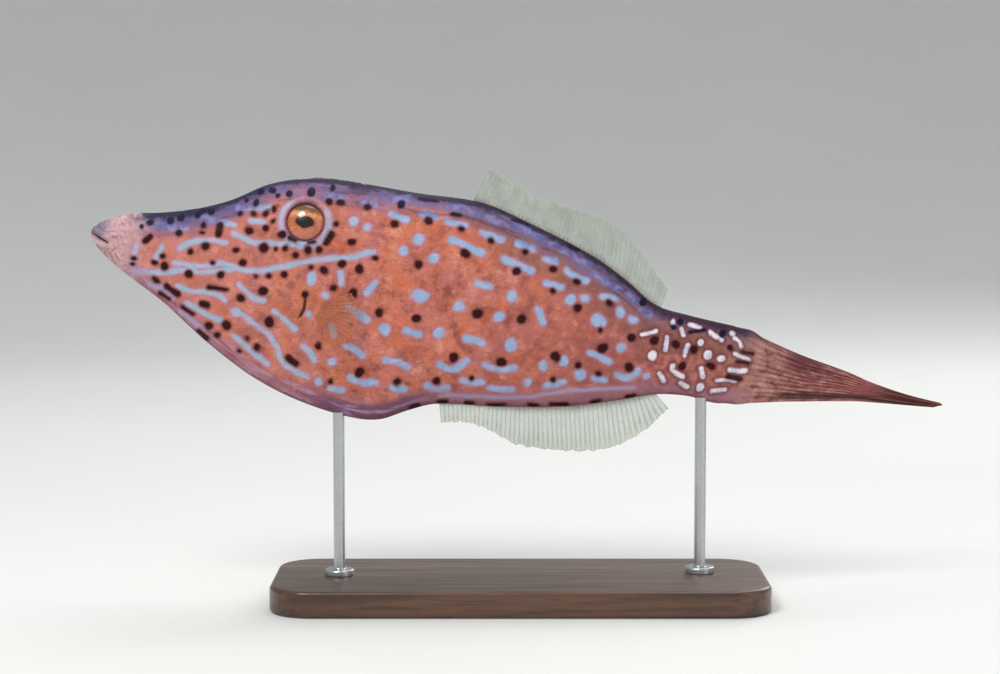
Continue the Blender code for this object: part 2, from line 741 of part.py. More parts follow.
def main():
    clear_scene()
    skin = material("skin", (0.74, 0.34, 0.27), 0.55)
    fin_membrane = material("fin_membrane", (0.72, 0.70, 0.60), 0.45)
    tail_skin = material("tail_fin", (0.48, 0.22, 0.20), 0.55)
    eye = material("eye", (0.80, 0.40, 0.14), 0.12)
    bone = material("spine", (0.30, 0.22, 0.26), 0.5)
    wood = material("stand_base", (0.10, 0.075, 0.06), 0.4)
    steel = material("stand_rod", (0.55, 0.56, 0.57), 0.3, 1.0)

    make_head(skin)
    make_torso(skin)
    make_tail_stalk(skin)
    for name, side in (("eye_left", -1), ("eye_right", 1)):
        finish_node(eyeball(name, side), name, eye, flank_point(EYE_ALONG, EYE_UP, side))
    finish_node(spine("dorsal_spine"), "dorsal_spine", bone, place(SPINE_BASE, 0, smooth(BACK, SPINE_BASE)))
    body_skin = whole_body("body_skin")
    make_fins(body_skin, fin_membrane)
    make_tail_fin(tail_skin)
    stand_base("stand_base", wood)
    stand_rod("stand_rod_front", FRONT_ROD_ALONG, body_skin, steel)
    stand_rod("stand_rod_rear", REAR_ROD_ALONG, body_skin, steel)
    bpy.data.objects.remove(body_skin)
    gather()


main()
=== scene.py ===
"""The looks of a life-size scrawled filefish on a plain display stand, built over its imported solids.

The fish's own frame is in millimetres: "along" runs back from the snout tip, "side" is positive to the
fish's right and "up" is positive to its back. place() turns it into the world, as the solids do.
"""

import math
from functools import cache

import bmesh
import bpy
import numpy as np
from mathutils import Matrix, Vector


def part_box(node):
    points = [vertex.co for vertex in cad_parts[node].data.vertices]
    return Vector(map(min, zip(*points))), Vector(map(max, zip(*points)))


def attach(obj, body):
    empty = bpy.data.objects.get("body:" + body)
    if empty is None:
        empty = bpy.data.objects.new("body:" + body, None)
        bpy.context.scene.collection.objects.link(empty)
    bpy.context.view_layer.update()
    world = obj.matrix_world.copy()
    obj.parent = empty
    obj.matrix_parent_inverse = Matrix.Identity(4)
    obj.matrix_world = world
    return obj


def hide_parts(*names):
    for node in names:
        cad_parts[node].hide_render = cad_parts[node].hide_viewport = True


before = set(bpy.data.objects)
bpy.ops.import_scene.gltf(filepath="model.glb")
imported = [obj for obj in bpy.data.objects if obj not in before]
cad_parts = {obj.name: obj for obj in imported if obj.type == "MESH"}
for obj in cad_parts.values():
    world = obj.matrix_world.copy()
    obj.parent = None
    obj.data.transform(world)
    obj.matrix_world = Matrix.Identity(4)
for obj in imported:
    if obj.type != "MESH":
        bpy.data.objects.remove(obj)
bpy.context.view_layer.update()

MM = 0.001
BODY = "root"

# The fish's axis in the world
BEND_START = 300.0
BEND_RADIUS = 420.0
PITCH = math.radians(10.0)
SNOUT_X = -258.0
SNOUT_Z = 226.0

# Outlines of the body: (along, value) stations
BACK = (
    (0, 0.6), (1.5, 3.4), (5, 6.4), (14, 11.4), (24, 14.8), (40, 18.2), (60, 24.0), (80, 33.0), (100, 45.8),
    (122, 53.2), (150, 56.0), (190, 56.3), (228, 57.3), (260, 49.8), (300, 37.2), (322, 26.6), (342, 15.0),
    (362, 12.0), (400, 9.4),
)
BELLY = (
    (0, -2.8), (1.5, -5.6), (5, -10.0), (14, -16.6), (28, -24.4), (50, -36.0), (78, -54.2), (110, -71.0),
    (140, -80.4), (172, -84.8), (190, -83.0), (206, -74.6), (222, -67.8), (260, -62.8), (300, -55.6),
    (330, -46.6), (352, -39.4), (372, -37.2), (388, -38.8), (400, -38.2),
)
HALF_WIDTH = (
    (0, 1.6), (1.5, 4.0), (5, 6.4), (14, 8.0), (28, 9.2), (50, 11.0), (78, 14.2), (105, 17.8), (130, 19.8),
    (165, 20.6), (215, 19.4), (260, 16.6), (310, 12.2), (350, 8.4), (380, 6.4), (400, 4.8),
)
WIDEST_LEVEL = (
    (0, -1.2), (28, -1.0), (78, 6.0), (125, 14.0), (170, 8.0), (260, -4.0), (340, -10.0), (400, -14.0),
)
BACK_SHARPNESS = 1.12
BELLY_SHARPNESS = ((0, 1.0), (60, 1.1), (120, 1.35), (180, 1.6), (225, 1.3), (300, 1.15), (400, 1.0))
BODY_LENGTH = 400.0
NOSE_DOME = 0.5

# How finely the skin is divided (rings of the nose, its step along the body, columns between angles from the
# back), and how far inside the outlines it lies
NOSE_RINGS = (-0.46, -0.38, -0.26, -0.12)
SKIN_STEP = (
    (0, 0.45), (20, 0.5), (34, 1.1), (104, 1.15), (112, 0.72), (142, 0.72), (152, 1.2), (330, 1.2),
    (340, 0.95), (400, 0.95),
)
SKIN_COLUMNS = ((40, 14), (125, 82), (180, 24))
SKIN_INSET = 0.12
SKIN_END_DIVE = 0.9

# Eyes
EYE_ALONG = 127.0
EYE_UP = 28.0
EYE_RADIUS = 13.0
EYE_HALF_DEPTH = 9.0
EYE_PROUD = 4.2
EYE_INSET = 0.08
EYE_RINGS = 72
EYE_SPOKES = 112
EYE_POLE = 0.02
PUPIL_HALF_WIDTH = 5.5
PUPIL_HALF_HEIGHTS = (3.2, 4.1)
PUPIL_MEAN_RADIUS = 3.6
EYE_OPENING = 11.0
SOCKET_DEPTH = 5.5
SOCKET_WALL = 1.5
RIM_RADIUS = 13.0
RIM_HALF_WIDTH = 2.2
RIM_HEIGHT = 1.2
RIM_WRINKLES = 44
RIM_WRINKLE_HEIGHT = 0.07
OUTER_FOLD_RADIUS = 18.6
OUTER_FOLD_HEIGHT = 0.22
ORBIT_RADIUS = 25.0
EYE_RING_RADIUS = 14.4
EYE_RING_HALF_WIDTH = 1.5

# Mouth and lips
MOUTH_FRONT_UP = -1.2
MOUTH_SLOPE = -0.36
MOUTH_CORNER = 12.5
LIP_MIDDLE = 2.5
LIP_HALF_HEIGHT = 2.5
LIP_RISE = 1.4
LIP_CREASE = 5.4
LIP_CREASE_DEPTH = 0.4
LIP_FOLD_SPACING = 1.9
LIP_FOLD_HEIGHT = 0.15
GAPE_DEPTH = 2.4
GAPE_HALF_HEIGHT = 0.62
PUCKERS = 22
RIDGE_SPACING = 5.0
CREASE_HEIGHT = 0.2
CREASES_END = 36.0

# Cheek, dewlap, nostrils, gill slit and the folded spine with its groove
CHEEK_ALONG = 84.0
CHEEK_UP = 8.0
CHEEK_RADIUS = 34.0
CHEEK_RISE = 0.5
DEWLAP_ALONGS = (112.0, 222.0)
DEWLAP_UP = -34.0
DEWLAP_FOLD_SPACING = 6.5
DEWLAP_FOLD_HEIGHT = 0.16
NOSTRILS = ((104.5, 31.0), (109.5, 34.0))
NOSTRIL_RADIUS = 1.15
NOSTRIL_DEPTH = 1.3
NOSTRIL_RIM_RADIUS = 1.9
NOSTRIL_RIM_HEIGHT = 0.45
GILL_SLIT = ((132.6, -12.5), (134.8, -17.5), (134.8, -23.5), (133.0, -28.5), (129.8, -33.0))
GILL_SLIT_DEPTH = 1.5
GILL_FOLD_HEIGHT = 0.75
GILL_MIDDLE_UP = -22.5
SPINE_BASE = 119.0
SPINE_LENGTH = 36.0
SPINE_RADIUS = 1.4
SPINE_TIP_RADIUS = 0.5
SPINE_INSET = 0.12
SPINE_KNOBS = 11
SPINE_KNOB_HEIGHT = 0.1
SPINE_LIFT = -0.35
SPINE_ROOT_SINK = 1.8
SPINE_RINGS = 49
SPINE_SIDES = 20
GROOVE_DEPTH = 1.7
GROOVE_HALF_WIDTH = 2.2
GROOVE_RIDGE_SIDE = 3.0
GROOVE_RIDGE_HEIGHT = 0.35

# Dorsal and anal fins: their rays, the start and end of their base, and (share, along, up) along their edge
DORSAL_FIN = (46, (223.0, 346.0), (
    (0.0, 229.0, 79.0), (0.28, 260.0, 67.5), (0.55, 291.0, 63.0), (0.72, 310.0, 58.5),
    (0.87, 330.0, 44.0), (1.0, 348.0, 26.0),
))
ANAL_FIN = (48, (224.0, 353.0), (
    (0.0, 227.0, -80.0), (0.22, 254.0, -83.5), (0.5, 294.0, -84.5), (0.75, 328.0, -77.5),
    (0.9, 349.0, -63.0), (1.0, 362.0, -47.0),
))
ANAL_NOTCH = 6.5
ANAL_NOTCH_PLACE = 0.17
ANAL_NOTCH_HALF_WIDTH = 0.2
FIN_WAVE = 3.0
FIN_WAVES = 1.5
FIN_ROOT_DEPTH = 1.2
FIN_EDGE_INSET = 0.2
FIN_SCALLOP_DEPTH = 0.5
FIN_RAGGEDNESS = 0.35
RAY_HALF_THICKNESS = 0.3
MEMBRANE_HALF_THICKNESS = 0.13
COLUMNS_PER_RAY = 8
FIN_STEPS = 26

# Tail fin
TAIL_FIN_LENGTH = 155.0
TAIL_FIN_TOP = ((0, 9.0), (15, 4.8), (40, -1.4), (75, -7.8), (95, -12.4), (125, -17.0), (155, -19.8))
TAIL_FIN_BOTTOM = ((0, -37.4), (16, -35.0), (32, -32.2), (49, -29.8), (66, -27.6), (90, -25.2), (155, -23.4))
TAIL_FIN_HALF_THICKNESS = ((0, 4.4), (40, 3.2), (90, 2.6), (130, 1.8), (155, 1.0))
TAIL_FIN_RAYS = 12
TAIL_FIN_LEVELS = 120
TAIL_FIN_STEPS = 90
TAIL_FIN_SUNK = 9.0
TAIL_TIP_RAGGEDNESS = 7.0
TAIL_GROOVE_DEPTH = 0.34
TAIL_BRANCH_DEPTH = 0.2
ROOT_INSET = 0.3

# Pectoral fins
PECTORAL_RAYS = 13
PECTORAL_ALONG = 143.5
PECTORAL_UP = -23.0
PECTORAL_LENGTH = 29.0
PECTORAL_SHORTEST = 0.72
PECTORAL_ARCH = (0.1, 0.95)
PECTORAL_ROOT_HEIGHT = 8.0
PECTORAL_ROOT_DEPTH = 2.0
PECTORAL_FAN = math.radians(36.0)
PECTORAL_DROOP = math.radians(-6.0)
PECTORAL_SPREAD = math.radians(20.0)
PECTORAL_CUP = 2.0
PECTORAL_SINK = 0.5
PECTORAL_EDGE_INSET = 0.3
PECTORAL_SCALLOP_DEPTH = 0.7

# Stand
BASE_CORNER = 26.0
BASE_BEVEL = 2.5
ROD_RADIUS = 3.5
ROD_ALONGS = {"stand_rod_front": 165.0, "stand_rod_rear": 381.0}
COLLAR_RADIUS = 9.0
COLLAR_HEIGHT = 3.5
COLLAR_ROUNDING = 1.2
COLLAR_FILLET = 1.0
ROD_INTO_BODY = 1.5
ROD_SIDES = 64

# Stage and light, in metres: each light has a name, a place, a size, a power and a colour
FLOOR_RADIUS = 1.7
BACKDROP_BEND = 2.4
BACKDROP_TOP = 3.4
BACKDROP_SIDES = 96
LIGHTS = (
    ("key", (-0.75, -1.15, 1.7), 0.8, 27.0, (1.0, 0.985, 0.96)),
    ("fill", (1.6, -1.3, 0.7), 1.3, 5.0, (0.95, 0.98, 1.0)),
    ("top", (0.2, 0.6, 1.9), 1.2, 15.0, (1.0, 1.0, 1.0)),
    ("rear", (0.9, 1.5, 1.0), 1.0, 8.0, (1.0, 1.0, 1.0)),
)
LIGHT_TARGET = (0.0, 0.0, 0.16)
SKY_COLOUR = (0.92, 0.95, 1.0, 1.0)
SKY_STRENGTH = 0.45

# Pale blue lines of the head, (along, up) points, the same on both flanks
HEAD_LINES = (
    ((55, -1), (58, 2), (64, 5), (72, 7.3), (82, 7.8)),
    ((86, 13.8), (91, 12.8), (99, 11), (107, 12), (119, 13.7), (130, 15)),
    ((53, -10), (58, -9.8), (70, -8.6), (80, -5.2), (88, -4.9), (94, -6.2), (104, -5.4), (112, -3), (121, 1),
     (133, 5.5), (143, 9.4), (153, 11.4), (161, 13.8), (170, 18)),
    ((34, -19), (39, -18.3), (50, -16), (59, -13.5), (70, -12.3), (80, -9.8), (88, -7.5)),
    ((40, 10), (57, 12)), ((66, 19.3), (86, 18.8)), ((85, 29.3), (104, 32.8)), ((95, 22.8), (103, 23.7)),
    ((29, -3), (28, -10), (29, -18)), ((28, -20.4), (35, -19)), ((44, -2), (42, -9.4)),
    ((40, -25.6), (49, -27.4), (55, -31.2)),
    ((57, -23), (65, -24.8), (74, -23.6), (82, -23.9), (87, -26.4)),
    ((64, -33), (71, -34.8), (78, -37.4), (86, -39.1)),
    ((61, -38.7), (68, -42.6), (76, -47.3)),
    ((92, -32), (97, -33.3), (102, -35.5), (109, -39), (116, -42.3), (121, -47.5), (125, -55), (130, -59.3),
     (136, -62.2), (143, -64)),
    ((95, -47.2), (104, -52.5), (111, -56.6), (118, -60.7)),
    ((94, -15.5), (99, -19), (104, -21.9), (110, -22.5)),
    ((117, -27.8), (123, -31), (131, -36)),
    ((137, 46.5), (146, 47)), ((158, 46.2), (166, 45.8)),
)

# Blue dashes of the flank
FLANK_DASHES = (
    ((194, 44.8), (203, 44.7)), ((176, 41.7), (186, 39.3)), ((176, 49.8), (185, 52)),
    ((210, 42.9), (221, 42.7)), ((214, 32.6), (221, 31.6), (226, 30), (234, 27.9)),
    ((232, 40), (237, 39), (244, 38.2)), ((247, 27.1), (253, 25.5), (265, 22.8)),
    ((254, 37.7), (264, 35.4)), ((272, 31.3), (278, 30.6)), ((274, 17), (284, 16.3)),
    ((286, 26.3), (290, 24.3), (298, 22.6)), ((234, 9.8), (242, 9.4)), ((272, 0.8), (277, -6.8)),
    ((197, -24.9), (205, -26.2)), ((233, -23.4), (243, -24.8)), ((302, 27.5), (309, 23.8), (319, 20.9)),
    ((309, 14.8), (317, 14.7)), ((324, 18), (330, 15)), ((334, 10.6), (340, 8.4)),
    ((308, -20), (313, -21), (320, -23.7)), ((313, -34.6), (319, -34.8)),
    ((326, -30.5), (332, -31.6), (337, -28.7), (338, -25.4)), ((286, -44.5), (296, -40.5)),
    ((153, 1.4), (154, -3.7)), ((174, -0.2), (170, -6.9)), ((153, -30.2), (155, -35.9)),
    ((138, -45.2), (142, -48.9), (146, -53.2)), ((163, -41.2), (167, -41.6), (174, -44.9)),
    ((188, -45), (195, -45.2), (202, -46.8)), ((168, -59.5), (175, -61), (184, -60.2)),
    ((194, -61), (202, -61.2)), ((158, -69), (165, -68.2)), ((161, -17.2), (167, -20.6), (173, -23)),
    ((220, -42.6), (227, -44), (233, -40.8), (236, -37.2)), ((247, -37.8), (255, -39.5), (265, -36.6)),
    ((215, -57.2), (221, -57.9), (227, -56.5)), ((235, -49.5), (241, -50.3), (247, -48.2)),
    ((252, -51.2), (259, -51), (266, -50.1)),
)

# Blue-violet streaks under the back, and the thin pale line over the anal fin
BACK_STREAKS = (
    ((208, 52), (221, 52.6)), ((222, 50.2), (237, 50.2)), ((235, 47.7), (244, 47)),
    ((247, 46.2), (259, 46.1)), ((258, 45.1), (267, 43.6)), ((266, 40.5), (276, 39.9)),
    ((279, 37.5), (288, 36.4)), ((289, 34), (299, 32.2)),
)
BELLY_LINE = (
    ((224, -61.8), (243, -58.9), (263, -55.7), (275, -53.1), (287, -49.4), (298, -45.8), (321, -40.4),
     (338, -36.5)),
)

# Blue spots: (along, up, radius)
BLUE_SPOTS = (
    (195, 29.7, 3.2), (187.5, 21.2, 3.1), (205.7, 20.5, 3.2), (201.3, -3.6, 4.5), (226, -5.8, 3.3),
    (255.8, 6.2, 3.4), (250.3, -7.3, 3.2), (216.4, -23.7, 3.3), (260.2, -23.6, 3.6), (290.5, 9.9, 3.2),
    (298.7, 11.8, 2.8), (309.4, -0.2, 4.1), (321.3, 7.1, 3.0), (329.1, 3.8, 2.7), (325.6, -13.5, 3.0),
    (293.5, -27.4, 3.2), (281.5, -32.8, 3.2), (304.2, -33.8, 3.3), (343.8, -28.4, 2.0), (274.1, -44.2, 2.5),
    (136.4, -3.8, 3.2), (146, -13.2, 2.5), (156.2, -52.2, 2.5), (184, -26.7, 3.4), (150.2, -66, 2.6),
    (154.8, 33.4, 2.9), (163.5, 31.7, 2.2), (94.5, -32.5, 3.1), (138, -25.5, 1.8),
)

# Near-black dots: (along, up, radius)
HEAD_DOTS = (
    (29.9, 8, 1.6), (34.4, 11.4, 2.0), (46, 14.7, 2.5), (52.6, 8.7, 2.0), (52.7, 16.8, 2.2),
    (61.8, 20.8, 2.2), (64.5, 23.3, 2.0), (69.7, 24, 2.4), (66.9, 15.8, 1.7), (66.9, 11.1, 1.2),
    (70.5, 3.4, 2.3), (61.7, -1.4, 1.6), (88.5, 4.1, 1.9), (45.2, -6.6, 1.7), (47.5, -13.1, 2.2),
    (41.4, -12.4, 1.8), (63, -15.2, 2.3), (82.6, -12, 2.3), (75.9, -5.4, 1.2), (94.3, -2.5, 1.8),
    (94.2, 17.2, 2.1), (104.5, 20.3, 1.9), (87.2, 26.1, 1.7), (96, 27.5, 1.8), (102.4, 29.2, 1.7),
    (95.6, 34.1, 1.8), (89.8, 33.7, 1.7), (96.7, 40.9, 2.2), (104.1, 42.8, 2.2), (107.5, 40.5, 1.5),
    (114.3, 42.3, 2.1), (107, 31.8, 1.7), (107.8, 25.5, 1.3), (114.9, 17.8, 2.3), (105.1, 8.8, 2.8),
    (112.5, 9.7, 1.4), (118.4, 10.8, 1.8), (124.6, 7.6, 1.8), (131.3, 11.9, 2.4), (138.5, 13.4, 1.8),
    (127.1, 46, 2.3), (138.6, 42.5, 2.0), (145.9, 43.3, 2.3), (138.7, 50.7, 1.9), (161.7, 43.3, 2.1),
    (145.2, 30.3, 1.5), (156.1, 21.6, 2.3), (153.1, 7.6, 2.3), (163.6, 6.4, 2.6), (143.2, 1.5, 2.6),
    (135.1, 2.1, 1.5), (150.3, -7.4, 1.9), (162, -8.9, 2.6), (134.4, -14.5, 2.1), (109, -17, 2.7),
    (96, -23.4, 2.4), (103.2, -8.8, 1.4), (111, -7.1, 1.6), (119.7, -5, 1.9), (43.8, -22.7, 1.8),
    (28.3, -11.4, 1.5), (28.4, -15.3, 1.4), (79.2, -43.9, 2.5), (90.2, -41.4, 2.6), (84.7, -48.7, 1.9),
    (115.2, -35.1, 2.7), (110, -51.8, 2.4), (103.6, -47.2, 1.5), (99.9, -55.7, 1.5), (171.8, 14.3, 1.5),
    (146.7, -43.8, 2.0), (163.8, -27.3, 1.4), (173.7, -55.5, 2.7), (196.8, -57, 2.4), (157.3, -64, 1.5),
    (179.8, -17, 2.4), (202.3, -17.5, 2.6), (197.4, 15, 2.3),
)
FLANK_DOTS = (
    (180.7, 48.1, 2.2), (179.2, 36.1, 2.2), (198.9, 41.5, 2.1), (219, 40.3, 2.1), (224, 25.9, 2.5),
    (237.7, 36.2, 2.0), (256.1, 21.3, 2.3), (259.2, 33.2, 1.7), (276.8, 26, 2.0), (279.2, 13, 1.5),
    (292.3, 20.8, 2.1), (237.1, -7.6, 2.7), (263.7, -6.8, 2.6), (295.4, 5.6, 2.1), (314.2, 11.2, 1.9),
    (287.6, -26, 2.8), (314, -15.5, 2.8), (330.4, -6.6, 2.4), (344.2, -6.3, 2.8), (357.9, -6.8, 2.7),
    (332, -24.6, 2.5), (302.4, -28.5, 1.8), (288.8, -40, 1.7), (314.5, -31.3, 1.8), (311, -5.3, 1.5),
    (228, -36.5, 2.7), (256, -34.2, 2.7), (220.2, -53.2, 2.3), (240.6, -47.4, 1.6),
)
STALK_DOTS = (
    (359, 7.6, 2.2), (354.7, 3.6, 1.9), (369, -7.8, 2.4), (364.1, -19, 2.4), (381, -16.4, 2.7),
    (386.1, 4.2, 2.2), (334.5, 15.4, 2.1), (391.6, -3.3, 1.8),
)

# Near-black dashes, broad and fine
DARK_DASHES = (
    ((34, 0.2), (36, 3.1)), ((76, 17.5), (77, 12.1)), ((144, 24.2), (142, 18.1)), ((73, -31.3), (77, -31.8)),
    ((51, -25.2), (58, -28.1)), ((74, -48.6), (79, -52.2)), ((130, -54.3), (135, -57.4)),
    ((394, -21.2), (402, -21.4)),
)
FINE_DARK_DASHES = (
    ((76, -20.4), (87, -20)), ((42, -21.2), (45, -23.3)), ((119.5, 16.9), (123.5, 16.2)),
    ((131.5, 16.5), (134.5, 17.4)), ((47, -29.7), (53, -32.6)), ((62, -35.7), (69, -38.4)),
    ((400, -4.8), (407, -4.8)), ((398, -11.3), (405, -11.6)), ((365, 1.8), (374, 4.7)),
    ((191, 53.2), (202, 53.6)), ((212, 47.9), (217, 48)), ((235, 57), (243, 54.4)),
    ((248, 50.6), (259, 49.5)), ((284, 41.3), (291, 39.5)),
)

# Maroon squares on the very edge of the belly: their places along the body
BELLY_SQUARES = (209, 226, 242, 255, 261, 280, 293, 298, 317, 337)
BELLY_SQUARE_HALF_LENGTH = 2.0
BELLY_SQUARE_HALF_WIDTH = 1.3
BELLY_SQUARE_UP = 1.6

# Whitish marks of the tail stalk: spots, then strokes
STALK_SPOTS = (
    (344.6, -15.8, 2.9), (354, 6.8, 1.7), (372.6, -3.1, 2.0), (378.5, -9.8, 2.4), (386.7, -10.6, 2.1),
    (377.8, -30.3, 2.4), (385.8, 0.4, 1.6), (391.7, 5.3, 1.7),
)
STALK_STROKES = (
    ((337, -4.2), (344, -0.2)), ((352, -3.6), (352, -10.8)), ((365, 6.3), (371, 5.3)),
    ((358, -19.2), (359, -22.9), (366, -25.8)), ((376, -18.7), (378, -23.2)), ((351, -26), (355, -30)),
    ((394, -16.9), (404, -15.8)), ((360, 3.3), (361, 0.1)), ((365, -5.7), (364, -12.7)),
    ((365, -29.1), (370, -31.5)), ((378, 3.7), (383, 1.5)), ((395, -6.3), (405, -9.4)),
)
FINE_STALK_STROKES = (
    ((394, 2.3), (397, 0.4), (399, -2.3)), ((387, -24.2), (392, -23.4), (399, -23.8)),
    ((385, -31.6), (394, -29.1)),
)

# The routes of each kind of marks with half the width of their lines
PALE_ROUTES = ((HEAD_LINES, 1.65), (FLANK_DASHES, 2.0), (BACK_STREAKS, 1.4), (BELLY_LINE, 1.0))
STALK_ROUTES = ((STALK_STROKES, 1.3), (FINE_STALK_STROKES, 1.0))
DARK_ROUTES = ((DARK_DASHES, 1.75), (FINE_DARK_DASHES, 1.05))

# How unevenly the marks are drawn, in millimetres and as a share of their width
MARK_WOBBLE = 0.35
MARK_SWELL = 0.16

# How far apart the grain of the two flanks is read
FAR_SIDE_SHIFT = 80.0

# Picture frame and camera: what lies in the middle of the picture, and the width that it takes in
VIEW_CENTRE = Vector((-0.0123, 0.0, 0.1615))
VIEW_WIDTH = 0.605
LENS = 85.0
SENSOR = 36.0
ELEVATION = math.radians(5.0)


def smooth(stations, at):
    """Values along a smooth curve through the stations, flat beyond their ends."""
    x, y = np.array(stations, float).T
    spots = np.arange(len(x))
    before, after = np.maximum(spots - 1, 0), np.minimum(spots + 1, len(x) - 1)
    slope = (y[after] - y[before]) / (x[after] - x[before])
    at = np.clip(at, x[0], x[-1])
    i = np.clip(np.searchsorted(x, at, side="right") - 1, 0, len(x) - 2)
    width = x[i + 1] - x[i]
    t = (at - x[i]) / width
    return (
        (2 * t**3 - 3 * t**2 + 1) * y[i]
        + (t**3 - 2 * t**2 + t) * width * slope[i]
        + (3 * t**2 - 2 * t**3) * y[i + 1]
        + (t**3 - t**2) * width * slope[i + 1]
    )


def ramp(value, start, end):
    """Goes smoothly from 0 to 1 as the value goes from start to end."""
    t = np.clip((value - start) / (end - start), 0, 1)
    return t * t * (3 - 2 * t)


def hump(t):
    """A round hump of height 1 over t from -1 to 1."""
    return np.cos(np.clip(t, -1, 1) * math.pi / 2) ** 1.4


def bell(distance, width):
    """1 at no distance, fading to nothing over about twice the width."""
    return np.exp(-((distance / width) ** 2))


def ripples(seed, size, *coordinates):
    """Repeatable soft unevenness of about -1 to 1, from crossed waves of about this size."""
    draw = np.random.default_rng(seed)
    total = 0.0
    for _ in range(7):
        way = draw.normal(size=len(coordinates))
        way *= math.tau / size * draw.uniform(0.6, 1.5) / np.linalg.norm(way)
        total = total + np.sin(sum(w * c for w, c in zip(way, coordinates)) + draw.uniform(0, math.tau))
    return total / 3.0


def place(along, side, up):
    """Points of the fish's own frame, in millimetres, as points of the world in metres."""
    turn = np.maximum(0.0, along - BEND_START) / BEND_RADIUS
    x = np.minimum(along, BEND_START) + BEND_RADIUS * np.sin(turn) - side * np.sin(turn)
    y = BEND_RADIUS * (1 - np.cos(turn)) + side * np.cos(turn)
    world_x = SNOUT_X + x * math.cos(PITCH) + up * math.sin(PITCH)
    world_z = SNOUT_Z - x * math.sin(PITCH) + up * math.cos(PITCH)
    return np.stack(np.broadcast_arrays(world_x, y, world_z), axis=-1) * MM


def unit(vectors):
    length = np.linalg.norm(vectors, axis=-1, keepdims=True)
    return vectors / np.maximum(length, 1e-12)


def axes(along):
    """The world directions back, to the right and up, at this place along the fish."""
    steps = ((along + 1, 0.0, 0.0), (along, 1.0, 0.0), (along, 0.0, 1.0))
    return [unit(place(*step) - place(along, 0.0, 0.0)) for step in steps]


def half_section(along, above):
    """The level where the body is widest, and the height and sharpness of its section above or below it."""
    level = smooth(WIDEST_LEVEL, along)
    height = np.where(above, smooth(BACK, along) - level, level - smooth(BELLY, along))
    return level, height, np.where(above, BACK_SHARPNESS, smooth(BELLY_SHARPNESS, along))


def section(along, angle):
    """How far to the side and up the body's section is: angle 0 is the back, pi the belly."""
    shrink = np.sqrt(np.clip(1 - (np.minimum(along, 0) / NOSE_DOME) ** 2, 0, 1))
    rise = np.cos(angle)
    level, height, sharpness = half_section(along, rise > 0)
    side = smooth(HALF_WIDTH, along) * np.abs(np.sin(angle)) ** sharpness * np.sign(np.sin(angle))
    return side * shrink, level + height * rise * shrink


def flank_reach(along, up):
    """How far the body reaches to either side at this height."""
    level, height, sharpness = half_section(along, up > smooth(WIDEST_LEVEL, along))
    rise = np.minimum(1.0, np.abs(up - level) / height)
    return smooth(HALF_WIDTH, along) * np.sqrt(1 - rise * rise) ** sharpness


def flank_point(along, up, side):
    return place(along, side * flank_reach(along, up), up)


def flank_outward(along, up, side):
    """The direction straight out of the flank, as a unit vector."""
    here = flank_point(along, up, side)
    out = unit(np.cross(flank_point(along + 1, up, side) - here, flank_point(along, up + 1, side) - here))
    return out if out[1] * side > 0 else -out


def route_distance(along, up, route):
    """The distance from each place to a route of straight runs."""
    least = np.full(np.shape(along), np.inf)
    for (x0, y0), (x1, y1) in zip(route, route[1:]):
        dx, dy = x1 - x0, y1 - y0
        t = np.clip(((along - x0) * dx + (up - y0) * dy) / (dx * dx + dy * dy), 0, 1)
        least = np.minimum(least, np.hypot(along - x0 - t * dx, up - y0 - t * dy))
    return least


def rounded(route, steps=5):
    """A route with its corners rounded, by a smooth curve through its points."""
    if len(route) < 3:
        return route
    at = np.linspace(0, len(route) - 1, steps * (len(route) - 1) + 1)
    return list(zip(*(smooth(list(enumerate(axis)), at) for axis in zip(*route))))


# Making objects

def link(name, data):
    obj = bpy.data.objects.new(name, data)
    bpy.context.scene.collection.objects.link(obj)
    return obj


def mesh_of(name, points, faces, attributes=None):
    """A smooth-shaded mesh whose points carry the named numbers or vectors."""
    points = np.reshape(points, (-1, 3))
    mesh = bpy.data.meshes.new(name)
    mesh.from_pydata(points.tolist(), [], faces)
    for key, values in (attributes or {}).items():
        kind, field = ("FLOAT", "value") if np.size(values) == len(points) else ("FLOAT_VECTOR", "vector")
        layer = mesh.attributes.new(key, kind, "POINT")
        layer.data.foreach_set(field, np.ravel(values).astype(np.float32))
    mesh.shade_smooth()
    return mesh


def grid_faces(rows, columns, around):
    """Quads between neighbouring points of a grid that is numbered row by row."""
    faces = []
    for i in range(rows - 1):
        for j in range(columns if around else columns - 1):
            k = (j + 1) % columns
            faces.append((i * columns + j, i * columns + k, (i + 1) * columns + k, (i + 1) * columns + j))
    return faces


def tube_faces(rows, columns):
    """The faces of a tube of rings, with its two ends."""
    last = range((rows - 1) * columns, rows * columns)
    return [*grid_faces(rows, columns, around=True), tuple(range(columns)), tuple(reversed(last))]


def turned(radii, heights, sides):
    """Points of a shape turned on a lathe, with a ring for each radius and height."""
    turn = np.linspace(0, math.tau, sides, endpoint=False)
    radius, angle = np.meshgrid(radii, turn, indexing="ij")
    height = np.broadcast_to(np.array(heights)[:, None], radius.shape)
    return np.stack([radius * np.cos(angle), radius * np.sin(angle), height], axis=-1)


def outward(mesh):
    """Turns every face of a closed mesh to point out."""
    bm = bmesh.new()
    bm.from_mesh(mesh)
    bmesh.ops.recalc_face_normals(bm, faces=bm.faces)
    bm.to_mesh(mesh)
    bm.free()
    return mesh


def add_piece(name, mesh, material, slot, *nodes):
    """Puts a piece on the fish's body, in place of the nodes it stands for."""
    obj = link(name, mesh)
    obj.data.materials.append(material)
    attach(obj, BODY)
    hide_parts(*nodes)


# Material helpers

def linear(value):
    """A screen value of 0 to 255, as the shader reads it."""
    value /= 255
    return value / 12.92 if value <= 0.04045 else ((value + 0.055) / 1.055) ** 2.4


